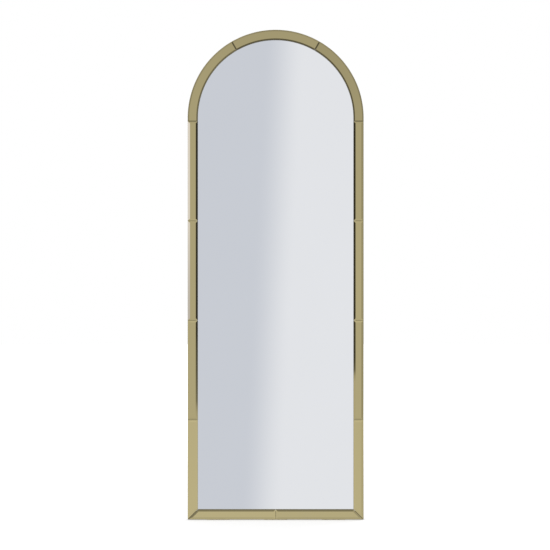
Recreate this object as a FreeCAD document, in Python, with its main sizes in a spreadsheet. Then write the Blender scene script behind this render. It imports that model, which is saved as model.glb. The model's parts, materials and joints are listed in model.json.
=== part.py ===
import FreeCAD, Part

import enum
import math
import os

import Sketcher
from FreeCAD import Placement, Rotation, Vector

# Leaning floor mirror: a tall silvered plate with a semicircular top, bordered by bevelled strips
# of tinted mirror glass on a rebated frame. It stands on foot pads and leans on wall bumpers, or
# hangs from two D-rings. +Z is up, the mirror looks along -Y, and the origin is the middle of the
# box around the mirror, at floor level. Lengths are in millimetres and angles in degrees.

# Driving sizes: name, value, what it measures.
DRIVING_SIZES = [
    ("overall_width", 610, "across the outer edges of the border"),
    ("overall_height", 1700, "from the floor to the top of the border"),
    ("strip_width", 35, "border strip, from its outer to its inner edge"),
    ("strip_thickness", 5, "border strip, from back to front"),
    ("bevel_width", 7, "bevel of a straight strip, measured on its front"),
    ("bevel_drop", 2.2, "depth of the bevel at the edge of a straight strip"),
    ("arch_bevel_width", 5, "bevel of a curved strip, measured on its front"),
    ("arch_bevel_drop", 1.2, "depth of the bevel at the edge of a curved strip"),
    ("joint_gap", 1, "between the ends of neighbouring strips"),
    ("arch_tail", 12, "straight foot of the outer arch strips"),
    ("crown_strip_half_angle", 30, "half of the arc of the crown strip"),
    ("tape_thickness", 1, "tape under the strips"),
    ("land_tape_width", 16, "tape run on the frame"),
    ("land_tape_inset", 5, "from the border's outer edge to the tape on the frame"),
    ("edge_tape_width", 4, "tape run on the edge of the mirror plate"),
    ("edge_tape_inset", 1.5, "from the mirror plate's edge to the tape on it"),
    ("tape_end_inset", 6, "from the end of a strip to the end of its tape"),
    ("mirror_thickness", 4, "mirror plate"),
    ("mirror_cover", 7, "of the mirror plate's edge that the strips cover"),
    ("mirror_gap", 2, "from the mirror plate's edge to the wall of its rebate"),
    ("mirror_tape_thickness", 1, "tape behind the mirror plate"),
    ("mirror_tape_width", 12, "tape behind the mirror plate"),
    ("mirror_tape_inset", 5, "from the mirror plate's edge to the tape behind it"),
    ("setting_block_length", 60, "block under the mirror plate"),
    ("setting_block_inset", 155, "from the border's outer edge to the middle of a setting block"),
    ("rail_width", 50, "frame rail, from its outer to its inner edge"),
    ("rail_depth", 20, "frame rail, from front to back"),
    ("rail_edge_break", 1, "eased outer edge on the back of the frame"),
    ("crown_rail_half_angle", 45, "half of the arc of the crown rail"),
    ("board_thickness", 3, "backing board"),
    ("board_recess", 2, "from the back of the frame to the backing board"),
    ("board_ledge", 12, "width of the ledge that carries the backing board"),
    ("board_gap", 1, "from the backing board to the wall of its rebate"),
    ("dowel_diameter", 8, "dowel in a frame joint"),
    ("dowel_length", 40, "dowel in a frame joint"),
    ("dowel_inset", 8, "from the frame's outer edge to the first dowel"),
    ("dowel_spacing", 12, "between the two dowels of a joint"),
    ("dowel_end_gap", 1, "beyond each end of a dowel"),
    ("glue_gap", 0.1, "around a dowel or a screw in its hole"),
    ("foam_width", 70, "foam block across the mirror"),
    ("foam_height", 90, "foam block along the mirror"),
    ("foam_inset", 185, "from the border's outer edge to the middle of a foam block"),
    ("foam_foot", 248, "from the border's foot to the lowest foam blocks"),
    ("foam_drop", 5, "from the springing line of the arch down to the highest foam blocks"),
    ("board_screw_edge", 6, "from the backing board's edge to its screws"),
    ("side_screw_foot", 88, "from the border's foot to the lowest screw of a stile"),
    ("side_screw_drop", 105, "from the springing line down to the highest screw of a stile"),
    ("bottom_screw_inset", 135, "from the border's outer edge to the bottom rail's outer screws"),
    ("arch_screw_angle", 35, "from one screw of the arch to the next"),
    ("board_screw_shank", 3, "diameter of a backing board screw"),
    ("board_screw_head", 6.4, "diameter of a backing board screw's head"),
    ("board_screw_head_height", 1.6, "height of a backing board screw's head"),
    ("board_screw_length", 11, "backing board screw, below its head"),
    ("hanger_drop", 105, "from the springing line of the arch down to a ring's axis"),
    ("strap_width", 14, "hanger strap"),
    ("strap_thickness", 1.5, "hanger strap"),
    ("strap_length", 48, "from the ring's axis to the strap's rounded end"),
    ("strap_first_hole", 17, "from the ring's axis to the upper screw of a strap"),
    ("strap_hole_pitch", 22, "between the two screws of a strap"),
    ("hanger_screw_shank", 3.5, "diameter of a strap screw"),
    ("hanger_screw_head", 6.1, "diameter of a strap screw's countersunk head"),
    ("hanger_screw_length", 16, "strap screw, head and shank"),
    ("ring_wire", 3, "diameter of the D-ring's wire"),
    ("ring_half_width", 13.5, "from the ring's middle to the axis of its side"),
    ("ring_side", 10, "from the ring's bar to the centre of its bow"),
    ("ring_corner", 3.5, "bend at each end of the ring's bar"),
    ("eye_clearance", 0.08, "between the ring's bar and the eye of the strap"),
    ("ring_rest_gap", 0.35, "between a hanging ring and its strap"),
    ("cross_arm", 1.9, "half of the length of a cross recess"),
    ("cross_slot", 0.4, "half of the width of a cross recess"),
    ("cross_depth", 0.9, "depth of a cross recess"),
    ("screw_tip", 3, "length of a screw's point"),
    ("bumper_diameter", 16, "wall bumper"),
    ("bumper_height", 7, "wall bumper"),
    ("bumper_edge_radius", 2, "rounded edge of a wall bumper"),
    ("upper_bumper_angle", 35, "from the top of the arch to the upper wall bumpers"),
    ("lower_bumper_foot", 58, "from the border's foot to the lower wall bumpers"),
    ("foot_thickness", 2, "foot pad"),
    ("foot_length", 80, "foot pad"),
    ("foot_inset", 105, "from the border's outer edge to the middle of an outer foot pad"),
    ("foot_setback", 1, "from the front of the border to the foot pads"),
]

# Places that follow from the driving sizes: name, expression.
DERIVED_PLACES = [
    ("half_width", "sizes.overall_width / 2"),
    ("border_front", "-(sizes.strip_thickness + sizes.tape_thickness + sizes.rail_depth"
                     " + sizes.bumper_height) / 2"),
    ("strip_back", "places.border_front + sizes.strip_thickness"),
    ("rail_front", "places.strip_back + sizes.tape_thickness"),
    ("mirror_back", "places.rail_front + sizes.mirror_thickness"),
    ("mirror_rebate", "sizes.mirror_thickness + sizes.mirror_tape_thickness"),
    ("rail_back", "places.rail_front + sizes.rail_depth"),
    ("board_rebate", "sizes.board_thickness + sizes.board_recess"),
    ("board_back", "places.rail_back - sizes.board_recess"),
    ("border_foot", "sizes.foot_thickness"),
    ("arch_centre", "sizes.overall_height - places.half_width"),
    ("side_height", "places.arch_centre - places.border_foot"),
    ("strips_height", "places.side_height - sizes.arch_tail"),
    ("mitre_gap", "sizes.joint_gap / sqrt(2)"),
    ("strip_middle", "places.half_width - sizes.strip_width / 2"),
    ("joint_half_angle", "sizes.joint_gap / 2 / places.strip_middle * 180 / pi"),
    ("tape_end_angle", "sizes.tape_end_inset / places.strip_middle * 180 / pi"),
    ("mirror_inset", "sizes.strip_width - sizes.mirror_cover"),
    ("land_width", "places.mirror_inset - sizes.mirror_gap"),
    ("back_land_width", "sizes.rail_width - sizes.board_ledge"),
    ("board_inset", "places.back_land_width + sizes.board_gap"),
    ("screw_inset", "places.board_inset + sizes.board_screw_edge"),
    ("rail_inner", "places.half_width - sizes.rail_width"),
    ("hanger_radius", "places.half_width - places.back_land_width / 2"),
    ("ring_axis_height", "sizes.strap_thickness + sizes.ring_rest_gap + sizes.ring_wire / 2"),
    ("ring_axis_back", "places.rail_back + places.ring_axis_height"),
    ("ring_axis_up", "places.arch_centre - sizes.hanger_drop"),
]

SIDES = {"left": -1, "right": 1}
SIDE_STRIP_COUNT = 4
SIDE_SCREW_COUNT = 5
FOAM_ROW_COUNT = 4
JOINT_DOWEL_COUNT = 2
STRAP_SCREW_COUNT = 2
ARCH_SCREW_STEPS = (-2, -1, 0, 1, 2)
BOTTOM_SCREW_STEPS = (-1, 0, 1)
FOOT_PAD_STEPS = {"left": -1, "centre": 0, "right": 1}
NEAR = 1e-6


class Spot(enum.IntEnum):
    """The points of an edge, as a sketch counts them."""
    START = enum.auto()
    END = enum.auto()
    CENTRE = enum.auto()


START, END, CENTRE = Spot
ORIGIN = ACROSS_AXIS = -1
UP_AXIS = ACROSS_AXIS - 1

document = FreeCAD.newDocument("leaning_floor_mirror")
nodes = {}


# ---------------------------------------------------------------- sizes and names

def make_sizes():
    """Fills the sheet of driving sizes and the set of places worked out from them."""
    sheet = document.addObject("Spreadsheet::Sheet", "sizes")
    for row, (name, value, meaning) in enumerate(DRIVING_SIZES, start=1):
        sheet.set(f"A{row}", meaning)
        sheet.set(f"B{row}", str(value))
        sheet.setAlias(f"B{row}", name)
    document.recompute()
    places = document.addObject("App::VarSet", "places")
    for name, expression in DERIVED_PLACES:
        places.addProperty("App::PropertyFloat", name)
        places.setExpression(name, expression)
        document.recompute()
    return sheet


def measure(expression):
    """Returns the number that an expression stands for now."""
    result = sizes.evalExpression(expression)
    return float(getattr(result, "Value", result))


def keep(piece, name):
    """Names a finished sub-part, which is later written to a file of that name."""
    piece.Label = name
    nodes[name] = piece
    return piece


def bind_base(piece, across="0", forward="0", up="0"):
    """Ties a piece's position to three expressions."""
    piece.setExpression("Placement.Base.x", across)
    piece.setExpression("Placement.Base.y", forward)
    piece.setExpression("Placement.Base.z", up)


# ---------------------------------------------------------------- sketches

def new_body(name):
    return document.addObject("PartDesign::Body", name)


def new_sketch(body, name, role="XZ_Plane", offset="0"):
    """Starts a sketch on one of the body's own planes, moved along that plane's normal."""
    sketch = body.newObject("Sketcher::SketchObject", name)
    plane = next(item for item in body.Origin.OriginFeatures if item.Role == role)
    sketch.AttachmentSupport = [(plane, "")]
    sketch.MapMode = "FlatFace"
    sketch.setExpression("AttachmentOffset.Base.z", offset)
    return sketch


def bind_constraint(sketch, expression, kind, *where):
    """Adds a dimension to a sketch and ties it to an expression."""
    index = sketch.addConstraint(Sketcher.Constraint(kind, *where, measure(expression)))
    sketch.setExpression(f"Constraints[{index}]", expression)


def pin_point(sketch, edge, end, across, up):
    bind_constraint(sketch, across, "DistanceX", ORIGIN, START, edge, end)
    bind_constraint(sketch, up, "DistanceY", ORIGIN, START, edge, end)


def tie_points(sketch, edge, end, other_edge, other_end):
    sketch.addConstraint(Sketcher.Constraint("Coincident", edge, end, other_edge, other_end))


def draw_polygon(sketch, corners):
    """Draws a closed outline of straight edges through corners given as pairs of expressions."""
    points = [Vector(measure(across), measure(up), 0) for across, up in corners]
    edges = [sketch.addGeometry(Part.LineSegment(point, points[index - 1]), False)
             for index, point in enumerate(points)]
    for edge, (across, up) in zip(edges, corners):
        tie_points(sketch, edge, END, edges[edge - 1], START)
        pin_point(sketch, edge, START, across, up)


def draw_rectangle(sketch, low_across, high_across, low_up, high_up):
    draw_polygon(sketch, [(low_across, low_up), (high_across, low_up),
                          (high_across, high_up), (low_across, high_up)])


def draw_circle(sketch, radius, across="0", up="0"):
    centre = Vector(measure(across), measure(up), 0)
    edge = sketch.addGeometry(Part.Circle(centre, Vector(0, 0, 1), measure(radius)), False)
    bind_constraint(sketch, radius, "Radius", edge)
    pin_point(sketch, edge, CENTRE, across, up)


def draw_arc(sketch, radius, first, last):
    """Draws an arc about the sketch's origin, anticlockwise from one angle to another."""
    circle = Part.Circle(Vector(0, 0, 0), Vector(0, 0, 1), measure(radius))
    arc = Part.ArcOfCircle(circle, math.radians(measure(first)), math.radians(measure(last)))
    edge = sketch.addGeometry(arc, False)
    tie_points(sketch, edge, CENTRE, ORIGIN, START)
    bind_constraint(sketch, radius, "Radius", edge)
    for end, angle in ((START, first), (END, last)):
        bind_constraint(sketch, f"({radius}) * sin(({angle}) * 1 deg)", "DistanceY",
                        ORIGIN, START, edge, end)
    return edge


def draw_path(sketch, first_edge, first_end, corners, last_edge, last_end):
    """Joins the ends of two edges by straight edges through pinned corners."""
    points = [sketch.getPoint(first_edge, first_end)]
    points += [Vector(measure(across), measure(up), 0) for across, up in corners]
    points.append(sketch.getPoint(last_edge, last_end))
    edges = [sketch.addGeometry(Part.LineSegment(start, end), False)
             for start, end in zip(points, points[1:])]
    tie_points(sketch, edges[0], START, first_edge, first_end)
    tie_points(sketch, edges[-1], END, last_edge, last_end)
    for edge, (across, up) in zip(edges, corners):
        tie_points(sketch, edge, END, edge + 1, START)
        pin_point(sketch, edge, END, across, up)


def draw_sector(sketch, inner, outer, first, last, tail_side=0, tail="0"):
    """Draws a piece of a ring about the sketch's origin, with a straight tail below one end."""
    outer_arc = draw_arc(sketch, outer, first, last)
    inner_arc = draw_arc(sketch, inner, first, last)
    for end, side in ((START, 1), (END, -1)):
        foot = []
        if side == tail_side:
            foot = [(f"{side} * ({outer})", f"-({tail})"), (f"{side} * ({inner})", f"-({tail})")]
        draw_path(sketch, outer_arc, end, foot, inner_arc, end)


def draw_arched_plate(sketch, half_width, foot):
    """Draws a plate with a semicircular top about the sketch's origin and a straight foot."""
    arc = draw_arc(sketch, half_width, "0", "180")
    draw_path(sketch, arc, START, [(half_width, foot), (f"-({half_width})", foot)], arc, END)


# ---------------------------------------------------------------- features

def add_pad(body, name, sketch, length, backwards=False, both_ways=False):
    pad = body.newObject("PartDesign::Pad", name)
    pad.Profile = sketch
    pad.setExpression("Length", length)
    pad.Reversed = backwards
    if both_ways:
        pad.SideType = "Symmetric"
    document.recompute()
    return pad


def add_pocket(body, name, sketch, depth, forwards=False, both_ways=False):
    """Cuts a pocket and makes sure that it has taken material away."""
    before = body.Shape.Volume
    pocket = body.newObject("PartDesign::Pocket", name)
    pocket.Profile = sketch
    pocket.setExpression("Length", depth)
    pocket.Reversed = forwards
    if both_ways:
        pocket.SideType = "Symmetric"
    document.recompute()
    if body.Shape.Volume > before - NEAR:
        raise RuntimeError(f"{body.Name}: {name} cuts nothing")
    return pocket


def edge_names(shape, wanted):
    """Returns the names of the edges of a shape that a test picks."""
    return [f"Edge{index}" for index, edge in enumerate(shape.Edges, start=1) if wanted(edge)]


def lies_at(edge, forward):
    """Tells whether an edge lies in the plane at that distance along Y."""
    box = edge.BoundBox
    return abs(box.YMin - forward) < NEAR and abs(box.YMax - forward) < NEAR


def add_chamfer(body, name, base, wanted, size, second_size=None):
    """Bevels the picked edges of a body's feature, with one size or with two."""
    chamfer = body.newObject("PartDesign::Chamfer", name)
    chamfer.Base = (base, edge_names(base.Shape, wanted))
    chamfer.setExpression("Size", size)
    if second_size:
        chamfer.ChamferType = "Two distances"
        chamfer.setExpression("Size2", second_size)
    document.recompute()
    return chamfer


def add_revolution(body, name, sketch):
    """Turns a profile a full circle about the sketch's vertical axis."""
    turned = body.newObject("PartDesign::Revolution", name)
    turned.Profile = sketch
    turned.ReferenceAxis = (sketch, ["V_Axis"])
    turned.Angle = 360
    document.recompute()
    return turned


def make_box(name, across, forward, up):
    """Makes a block from three pairs of expressions: its low and high end along X, Y and Z."""
    block = document.addObject("Part::Box", name)
    for size, (low, high) in zip(("Length", "Width", "Height"), (across, forward, up)):
        block.setExpression(size, f"({high}) - ({low})")
    bind_base(block, across[0], forward[0], up[0])
    return block


def make_plate(name, draw, thickness, back, up="0", **keywords):
    """Pads an outline forwards from the plane at back, and leaves the pad as the body's tip."""
    body = new_body(name)
    sketch = new_sketch(body, f"{name}_outline")
    draw(sketch, **keywords)
    add_pad(body, f"{name}_pad", sketch, thickness)
    bind_base(body, forward=back, up=up)
    return body


def group(name, pieces):
    """Gathers separate solids under one name."""
    gathered = document.addObject("Part::Compound", name)
    gathered.Links = pieces
    return gathered


def copy_to(name, master, spots):
    """Places a copy of a master piece at each spot: three places and a turn about Y."""
    copies = []
    for index, (across, forward, up, turn) in enumerate(spots, start=1):
        copy = document.addObject("App::Link", f"{name}_{index}")
        copy.LinkedObject = master
        copy.Placement = Placement(Vector(0, 0, 0), Rotation(Vector(0, 1, 0), 90))
        copy.setExpression("Placement.Rotation.Angle", f"({turn}) * 1 deg")
        bind_base(copy, across, forward, up)
        copies.append(copy)
    return group(name, copies)


def band(side, inset, width):
    """Returns the ends across X of an upright band, measured in from the border's outer edge."""
    near = f"places.half_width - ({inset})"
    far = f"{near} - ({width})"
    return (far, near) if side > 0 else (f"-({near})", f"-({far})")


def arch_spot(side, radius, angle):
    """Returns the place across and up of a point on the arch, at an angle from its top."""
    across = f"{side} * ({radius}) * sin(({angle}) * 1 deg)"
    up = f"places.arch_centre + ({radius}) * cos(({angle}) * 1 deg)"
    return across, up


# ---------------------------------------------------------------- glass border

def make_strip(name, draw, bevel="bevel", up="0", **keywords):
    """Makes a strip with a bevel ground along every edge of its front."""
    strip = make_plate(name, draw, "sizes.strip_thickness", "places.strip_back", up, **keywords)
    front = -measure("sizes.strip_thickness")
    add_chamfer(strip, f"{name}_bevel", strip.Tip, lambda edge: lies_at(edge, front),
                f"sizes.{bevel}_drop", f"sizes.{bevel}_width")
    keep(strip, name)


def side_strip_ends(number):
    """Returns the lower and upper end of a straight side strip, counted from the floor."""
    low, high = (f"places.border_foot + {joint} * places.strips_height / {SIDE_STRIP_COUNT}"
                 for joint in (number - 1, number))
    return f"{low} + sizes.joint_gap / 2", f"{high} - sizes.joint_gap / 2"


def make_side_strips():
    """Makes four straight strips on each side; the lowest has a mitre at its foot."""
    for side_name, side in SIDES.items():
        outer = f"{side} * places.half_width"
        inner = f"{side} * (places.half_width - sizes.strip_width)"
        for number in range(1, SIDE_STRIP_COUNT + 1):
            low, high = side_strip_ends(number)
            inner_low = low
            if number == 1:
                low = "places.border_foot + places.mitre_gap"
                inner_low = f"{low} + sizes.strip_width"
            corners = [(outer, low), (inner, inner_low), (inner, high), (outer, high)]
            make_strip(f"side_strip_{side_name}_{number}", draw_polygon, corners=corners)


def make_bottom_strips():
    """Makes the two bottom strips, mitred at the corners and joined in the middle."""
    for side_name, side in SIDES.items():
        outer = f"{side} * (places.half_width - places.mitre_gap)"
        inner = f"{side} * (places.half_width - places.mitre_gap - sizes.strip_width)"
        middle = f"{side} * sizes.joint_gap / 2"
        top = "places.border_foot + sizes.strip_width"
        corners = [(outer, "places.border_foot"), (inner, top), (middle, top),
                   (middle, "places.border_foot")]
        make_strip(f"bottom_strip_{side_name}", draw_polygon, corners=corners)


# The arcs of the three arch strips, anticlockwise from +X, and the side of their tail.
CROWN_RIGHT_END = "90 - sizes.crown_strip_half_angle"
CROWN_LEFT_END = "90 + sizes.crown_strip_half_angle"
ARCH_ARCS = {
    "left": (f"{CROWN_LEFT_END} + places.joint_half_angle", "180", -1),
    "crown": (f"{CROWN_RIGHT_END} + places.joint_half_angle",
              f"{CROWN_LEFT_END} - places.joint_half_angle", 0),
    "right": ("0", f"{CROWN_RIGHT_END} - places.joint_half_angle", 1),
}


def make_arch_strips():
    for name, (first, last, tail_side) in ARCH_ARCS.items():
        make_strip(f"arch_strip_{name}", draw_sector, "arch_bevel", "places.arch_centre",
                   inner="places.half_width - sizes.strip_width", outer="places.half_width",
                   first=first, last=last, tail_side=tail_side,
                   tail="sizes.arch_tail - sizes.joint_gap / 2")


def make_tape_runs(name, inset, width):
    """Tapes every strip down along one line, measured in from the border's outer edge."""
    forward = ("places.strip_back", "places.rail_front")
    runs = []
    for side_name, side in SIDES.items():
        across = band(side, inset, width)
        for number in range(1, SIDE_STRIP_COUNT + 1):
            low, high = side_strip_ends(number)
            if number == 1:
                low = "places.border_foot + places.mitre_gap + sizes.strip_width"
            ends = (f"{low} + sizes.tape_end_inset", f"{high} - sizes.tape_end_inset")
            runs.append(make_box(f"{name}_{side_name}_{number}", across, forward, ends))
        foot = f"places.border_foot + {inset}"
        middle = f"{side} * (sizes.joint_gap / 2 + sizes.tape_end_inset)"
        corner = f"{side} * (places.half_width - sizes.strip_width - sizes.tape_end_inset)"
        ends = (corner, middle) if side < 0 else (middle, corner)
        runs.append(make_box(f"{name}_bottom_{side_name}", ends, forward,
                             (foot, f"{foot} + ({width})")))
    for arc_name, (first, last, tail_side) in ARCH_ARCS.items():
        first_inset = "0" if tail_side > 0 else "places.tape_end_angle"
        last_inset = "0" if tail_side < 0 else "places.tape_end_angle"
        runs.append(make_plate(f"{name}_{arc_name}", draw_sector, "sizes.tape_thickness",
                               "places.rail_front", "places.arch_centre",
                               inner=f"places.half_width - ({inset}) - ({width})",
                               outer=f"places.half_width - ({inset})",
                               first=f"{first} + {first_inset}",
                               last=f"{last} - {last_inset}"))
    keep(group(name, runs), name)


# ---------------------------------------------------------------- mirror plate and its seat

def make_mirror_plate():
    plate = make_plate("centre_mirror", draw_arched_plate, "sizes.mirror_thickness",
                       "places.mirror_back", "places.arch_centre",
                       half_width="places.half_width - places.mirror_inset",
                       foot="places.border_foot + places.mirror_inset - places.arch_centre")
    keep(plate, "centre_mirror")


def make_mirror_tape():
    """Tapes the back of the mirror plate to the floor of its rebate, all round."""
    forward = ("places.mirror_back", "places.mirror_back + sizes.mirror_tape_thickness")
    inset = "places.mirror_inset + sizes.mirror_tape_inset"
    foot = f"places.border_foot + {inset}"
    side_foot = f"{foot} + sizes.mirror_tape_width"
    runs = [make_box(f"mirror_tape_{side_name}", band(side, inset, "sizes.mirror_tape_width"),
                     forward, (side_foot, "places.arch_centre"))
            for side_name, side in SIDES.items()]
    runs.append(make_box("mirror_tape_bottom",
                         (f"-(places.half_width - ({inset}))", f"places.half_width - ({inset})"),
                         forward, (foot, side_foot)))
    runs.append(make_plate("mirror_tape_arch", draw_sector, "sizes.mirror_tape_thickness",
                           forward[1], "places.arch_centre",
                           inner=f"places.half_width - ({inset}) - sizes.mirror_tape_width",
                           outer=f"places.half_width - ({inset})", first="0", last="180"))
    keep(group("mirror_tape", runs), "mirror_tape")


def make_setting_blocks():
    foot = "places.border_foot + places.land_width"
    blocks = []
    for side_name, side in SIDES.items():
        middle = f"{side} * (places.half_width - sizes.setting_block_inset)"
        across = (f"{middle} - sizes.setting_block_length / 2",
                  f"{middle} + sizes.setting_block_length / 2")
        blocks.append(make_box(f"setting_block_{side_name}", across,
                               ("places.rail_front", "places.mirror_back"),
                               (foot, f"{foot} + sizes.mirror_gap")))
    keep(group("setting_blocks", blocks), "setting_blocks")


# ---------------------------------------------------------------- frame

def dowel_spots():
    """Returns the middle and turn of the two dowels in each of the six frame joints."""
    middle = "(places.rail_front + places.rail_back) / 2"
    spots = []
    for side in SIDES.values():
        for number in range(JOINT_DOWEL_COUNT):
            inset = f"(sizes.dowel_inset + {number} * sizes.dowel_spacing)"
            radius = f"places.half_width - {inset}"
            spots.append((f"{side} * places.rail_inner", middle,
                          f"places.border_foot + {inset}", "90"))
            spots.append((f"{side} * ({radius})", middle, "places.arch_centre", "0"))
            across, up = arch_spot(side, radius, "sizes.crown_rail_half_angle")
            spots.append((across, middle, up, f"{-side} * (90 - sizes.crown_rail_half_angle)"))
    return spots


def make_dowel_master(name, diameter, length):
    master = document.addObject("Part::Cylinder", f"{name}_cylinder")
    master.setExpression("Radius", f"({diameter}) / 2")
    master.setExpression("Height", length)
    master.setExpression("Placement.Base.z", f"-({length}) / 2")
    return group(name, [master])


def board_screw_spots(forward):
    """Returns the places of the backing board's screws: up both stiles, along foot and arch."""
    radius = "(places.half_width - places.screw_inset)"
    spots = []
    for side in SIDES.values():
        for number in range(SIDE_SCREW_COUNT):
            run = "(places.side_height - sizes.side_screw_foot - sizes.side_screw_drop)"
            up = (f"places.border_foot + sizes.side_screw_foot"
                  f" + {number} * {run} / {SIDE_SCREW_COUNT - 1}")
            spots.append((f"{side} * {radius}", forward, up, "0"))
    for step in BOTTOM_SCREW_STEPS:
        spots.append((f"{step} * (places.half_width - sizes.bottom_screw_inset)", forward,
                      "places.border_foot + places.screw_inset", "0"))
    for step in ARCH_SCREW_STEPS:
        across, up = arch_spot(1, radius, f"{step} * sizes.arch_screw_angle")
        spots.append((across, forward, up, "0"))
    return spots


def hanger_screw_spots(forward):
    """Returns the places of the screws of both hanger straps."""
    spots = []
    for side in SIDES.values():
        for number in range(STRAP_SCREW_COUNT):
            up = f"places.ring_axis_up - sizes.strap_first_hole - {number} * sizes.strap_hole_pitch"
            spots.append((f"{side} * places.hanger_radius", forward, up, "0"))
    return spots


def make_drill(name, diameter, length):
    """Makes a round hole's shape that reaches forwards from its origin, along -Y."""
    body = new_body(name)
    sketch = new_sketch(body, f"{name}_circle")
    draw_circle(sketch, f"({diameter}) / 2")
    add_pad(body, f"{name}_pad", sketch, length)
    return body


def make_drillings():
    """Gathers every hole of the frame: for dowels, backing board screws and strap screws."""
    hole = make_dowel_master("dowel_hole", "sizes.dowel_diameter + 2 * sizes.glue_gap",
                             "sizes.dowel_length + 2 * sizes.dowel_end_gap")
    board_drill = make_drill("board_screw_drill",
                             "sizes.board_screw_shank + 2 * sizes.glue_gap",
                             "sizes.board_screw_length + sizes.glue_gap")
    hanger_drill = make_drill("hanger_screw_drill",
                              "sizes.hanger_screw_shank + 2 * sizes.glue_gap",
                              "sizes.hanger_screw_length - sizes.strap_thickness"
                              " + sizes.glue_gap")
    board_holes = copy_to("board_screw_holes", board_drill, board_screw_spots("places.board_back"))
    frame_holes = group("frame_holes", [
        copy_to("dowel_holes", hole, dowel_spots()),
        board_holes,
        copy_to("hanger_screw_holes", hanger_drill, hanger_screw_spots("places.rail_back"))])
    return frame_holes, board_holes


def make_dowels():
    dowel = make_dowel_master("dowel", "sizes.dowel_diameter", "sizes.dowel_length")
    keep(copy_to("frame_dowels", dowel, dowel_spots()), "frame_dowels")


def drill(name, blank, holes):
    """Cuts the holes from a blank and keeps the result as a sub-part."""
    drilled = document.addObject("Part::Cut", name)
    drilled.Base = blank
    drilled.Tool = holes
    return keep(drilled, name)


def draw_window(sketch, land):
    """Draws the opening that the straight rails leave inside a land of their outer edges."""
    half_width = f"(places.half_width - {land})"
    draw_rectangle(sketch, f"-{half_width}", half_width, f"places.border_foot + {land}",
                   "places.arch_centre + sizes.rail_width")


def draw_round_window(sketch, land):
    draw_circle(sketch, f"places.half_width - {land}")


def cut_rebates(body, draw):
    """Cuts the mirror's rebate from the front of a rail and the board's from its back."""
    front = new_sketch(body, f"{body.Name}_front", offset="sizes.rail_depth")
    draw(front, "places.land_width")
    add_pocket(body, f"{body.Name}_mirror_rebate", front, "places.mirror_rebate")
    back = new_sketch(body, f"{body.Name}_back")
    draw(back, "places.back_land_width")
    add_pocket(body, f"{body.Name}_board_rebate", back, "places.board_rebate", forwards=True)


def ease_back_edge(body, is_outer):
    """Takes the sharpness off the outer edges of a rail's back."""
    add_chamfer(body, f"{body.Name}_eased", body.Tip,
                lambda edge: lies_at(edge, 0) and is_outer(edge), "sizes.rail_edge_break")


def make_stile(side_name, side, holes):
    """Makes an upright of the frame, from the floor pads to the springing line of the arch."""
    name = f"stile_{side_name}"
    blank = make_plate(f"{name}_blank", draw_rectangle, "sizes.rail_depth", "places.rail_back",
                       low_across=f"{side} * places.rail_inner",
                       high_across=f"{side} * places.half_width",
                       low_up="places.border_foot", high_up="places.arch_centre")
    cut_rebates(blank, draw_window)
    half_width, foot = measure("places.half_width"), measure("places.border_foot")

    def is_outer(edge):
        box = edge.BoundBox
        return min(abs(box.XMin), abs(box.XMax)) > half_width - NEAR or box.ZMax < foot + NEAR

    ease_back_edge(blank, is_outer)
    drill(name, blank, holes)


def make_bottom_rail(holes):
    blank = make_plate("bottom_rail_blank", draw_rectangle, "sizes.rail_depth",
                       "places.rail_back", low_across="-places.rail_inner",
                       high_across="places.rail_inner", low_up="places.border_foot",
                       high_up="places.border_foot + sizes.rail_width")
    cut_rebates(blank, draw_window)
    foot = measure("places.border_foot")
    ease_back_edge(blank, lambda edge: edge.BoundBox.ZMax < foot + NEAR)
    drill("bottom_rail", blank, holes)


def make_arch_rail(name, first, last, holes):
    """Makes a curved rail of the frame between two angles."""
    blank = make_plate(f"arch_rail_{name}_blank", draw_sector, "sizes.rail_depth",
                       "places.rail_back", "places.arch_centre", inner="places.rail_inner",
                       outer="places.half_width", first=first, last=last)
    cut_rebates(blank, draw_round_window)
    outer_length = measure(f"places.half_width * (({last}) - ({first})) * pi / 180")
    ease_back_edge(blank, lambda edge: edge.Length > outer_length - NEAR)
    drill(f"arch_rail_{name}", blank, holes)


def make_frame():
    """Makes the six rails of the frame and their dowels, and returns the board's screw holes."""
    frame_holes, board_holes = make_drillings()
    for side_name, side in SIDES.items():
        make_stile(side_name, side, frame_holes)
    make_bottom_rail(frame_holes)
    right_joint = "90 - sizes.crown_rail_half_angle"
    left_joint = "90 + sizes.crown_rail_half_angle"
    make_arch_rail("right", "0", right_joint, frame_holes)
    make_arch_rail("crown", right_joint, left_joint, frame_holes)
    make_arch_rail("left", left_joint, "180", frame_holes)
    make_dowels()
    return board_holes


# ---------------------------------------------------------------- back

def make_backing_board(board_holes):
    blank = make_plate("backing_board_blank", draw_arched_plate, "sizes.board_thickness",
                       "places.board_back", "places.arch_centre",
                       half_width="places.half_width - places.board_inset",
                       foot="places.border_foot + places.board_inset - places.arch_centre")
    drill("backing_board", blank, board_holes)


def make_foam_blocks():
    """Makes the soft blocks that hold the mirror plate off the backing board."""
    forward = ("places.mirror_back", "places.board_back - sizes.board_thickness")
    blocks = []
    for side_name, side in SIDES.items():
        middle = f"{side} * (places.half_width - sizes.foam_inset)"
        across = (f"{middle} - sizes.foam_width / 2", f"{middle} + sizes.foam_width / 2")
        for number in range(FOAM_ROW_COUNT):
            run = "(places.side_height - sizes.foam_foot - sizes.foam_drop - sizes.foam_height)"
            foot = (f"places.border_foot + sizes.foam_foot"
                    f" + {number} * {run} / {FOAM_ROW_COUNT - 1}")
            blocks.append(make_box(f"foam_block_{side_name}_{number + 1}", across, forward,
                                   (foot, f"{foot} + sizes.foam_height")))
    keep(group("foam_blocks", blocks), "foam_blocks")


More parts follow.
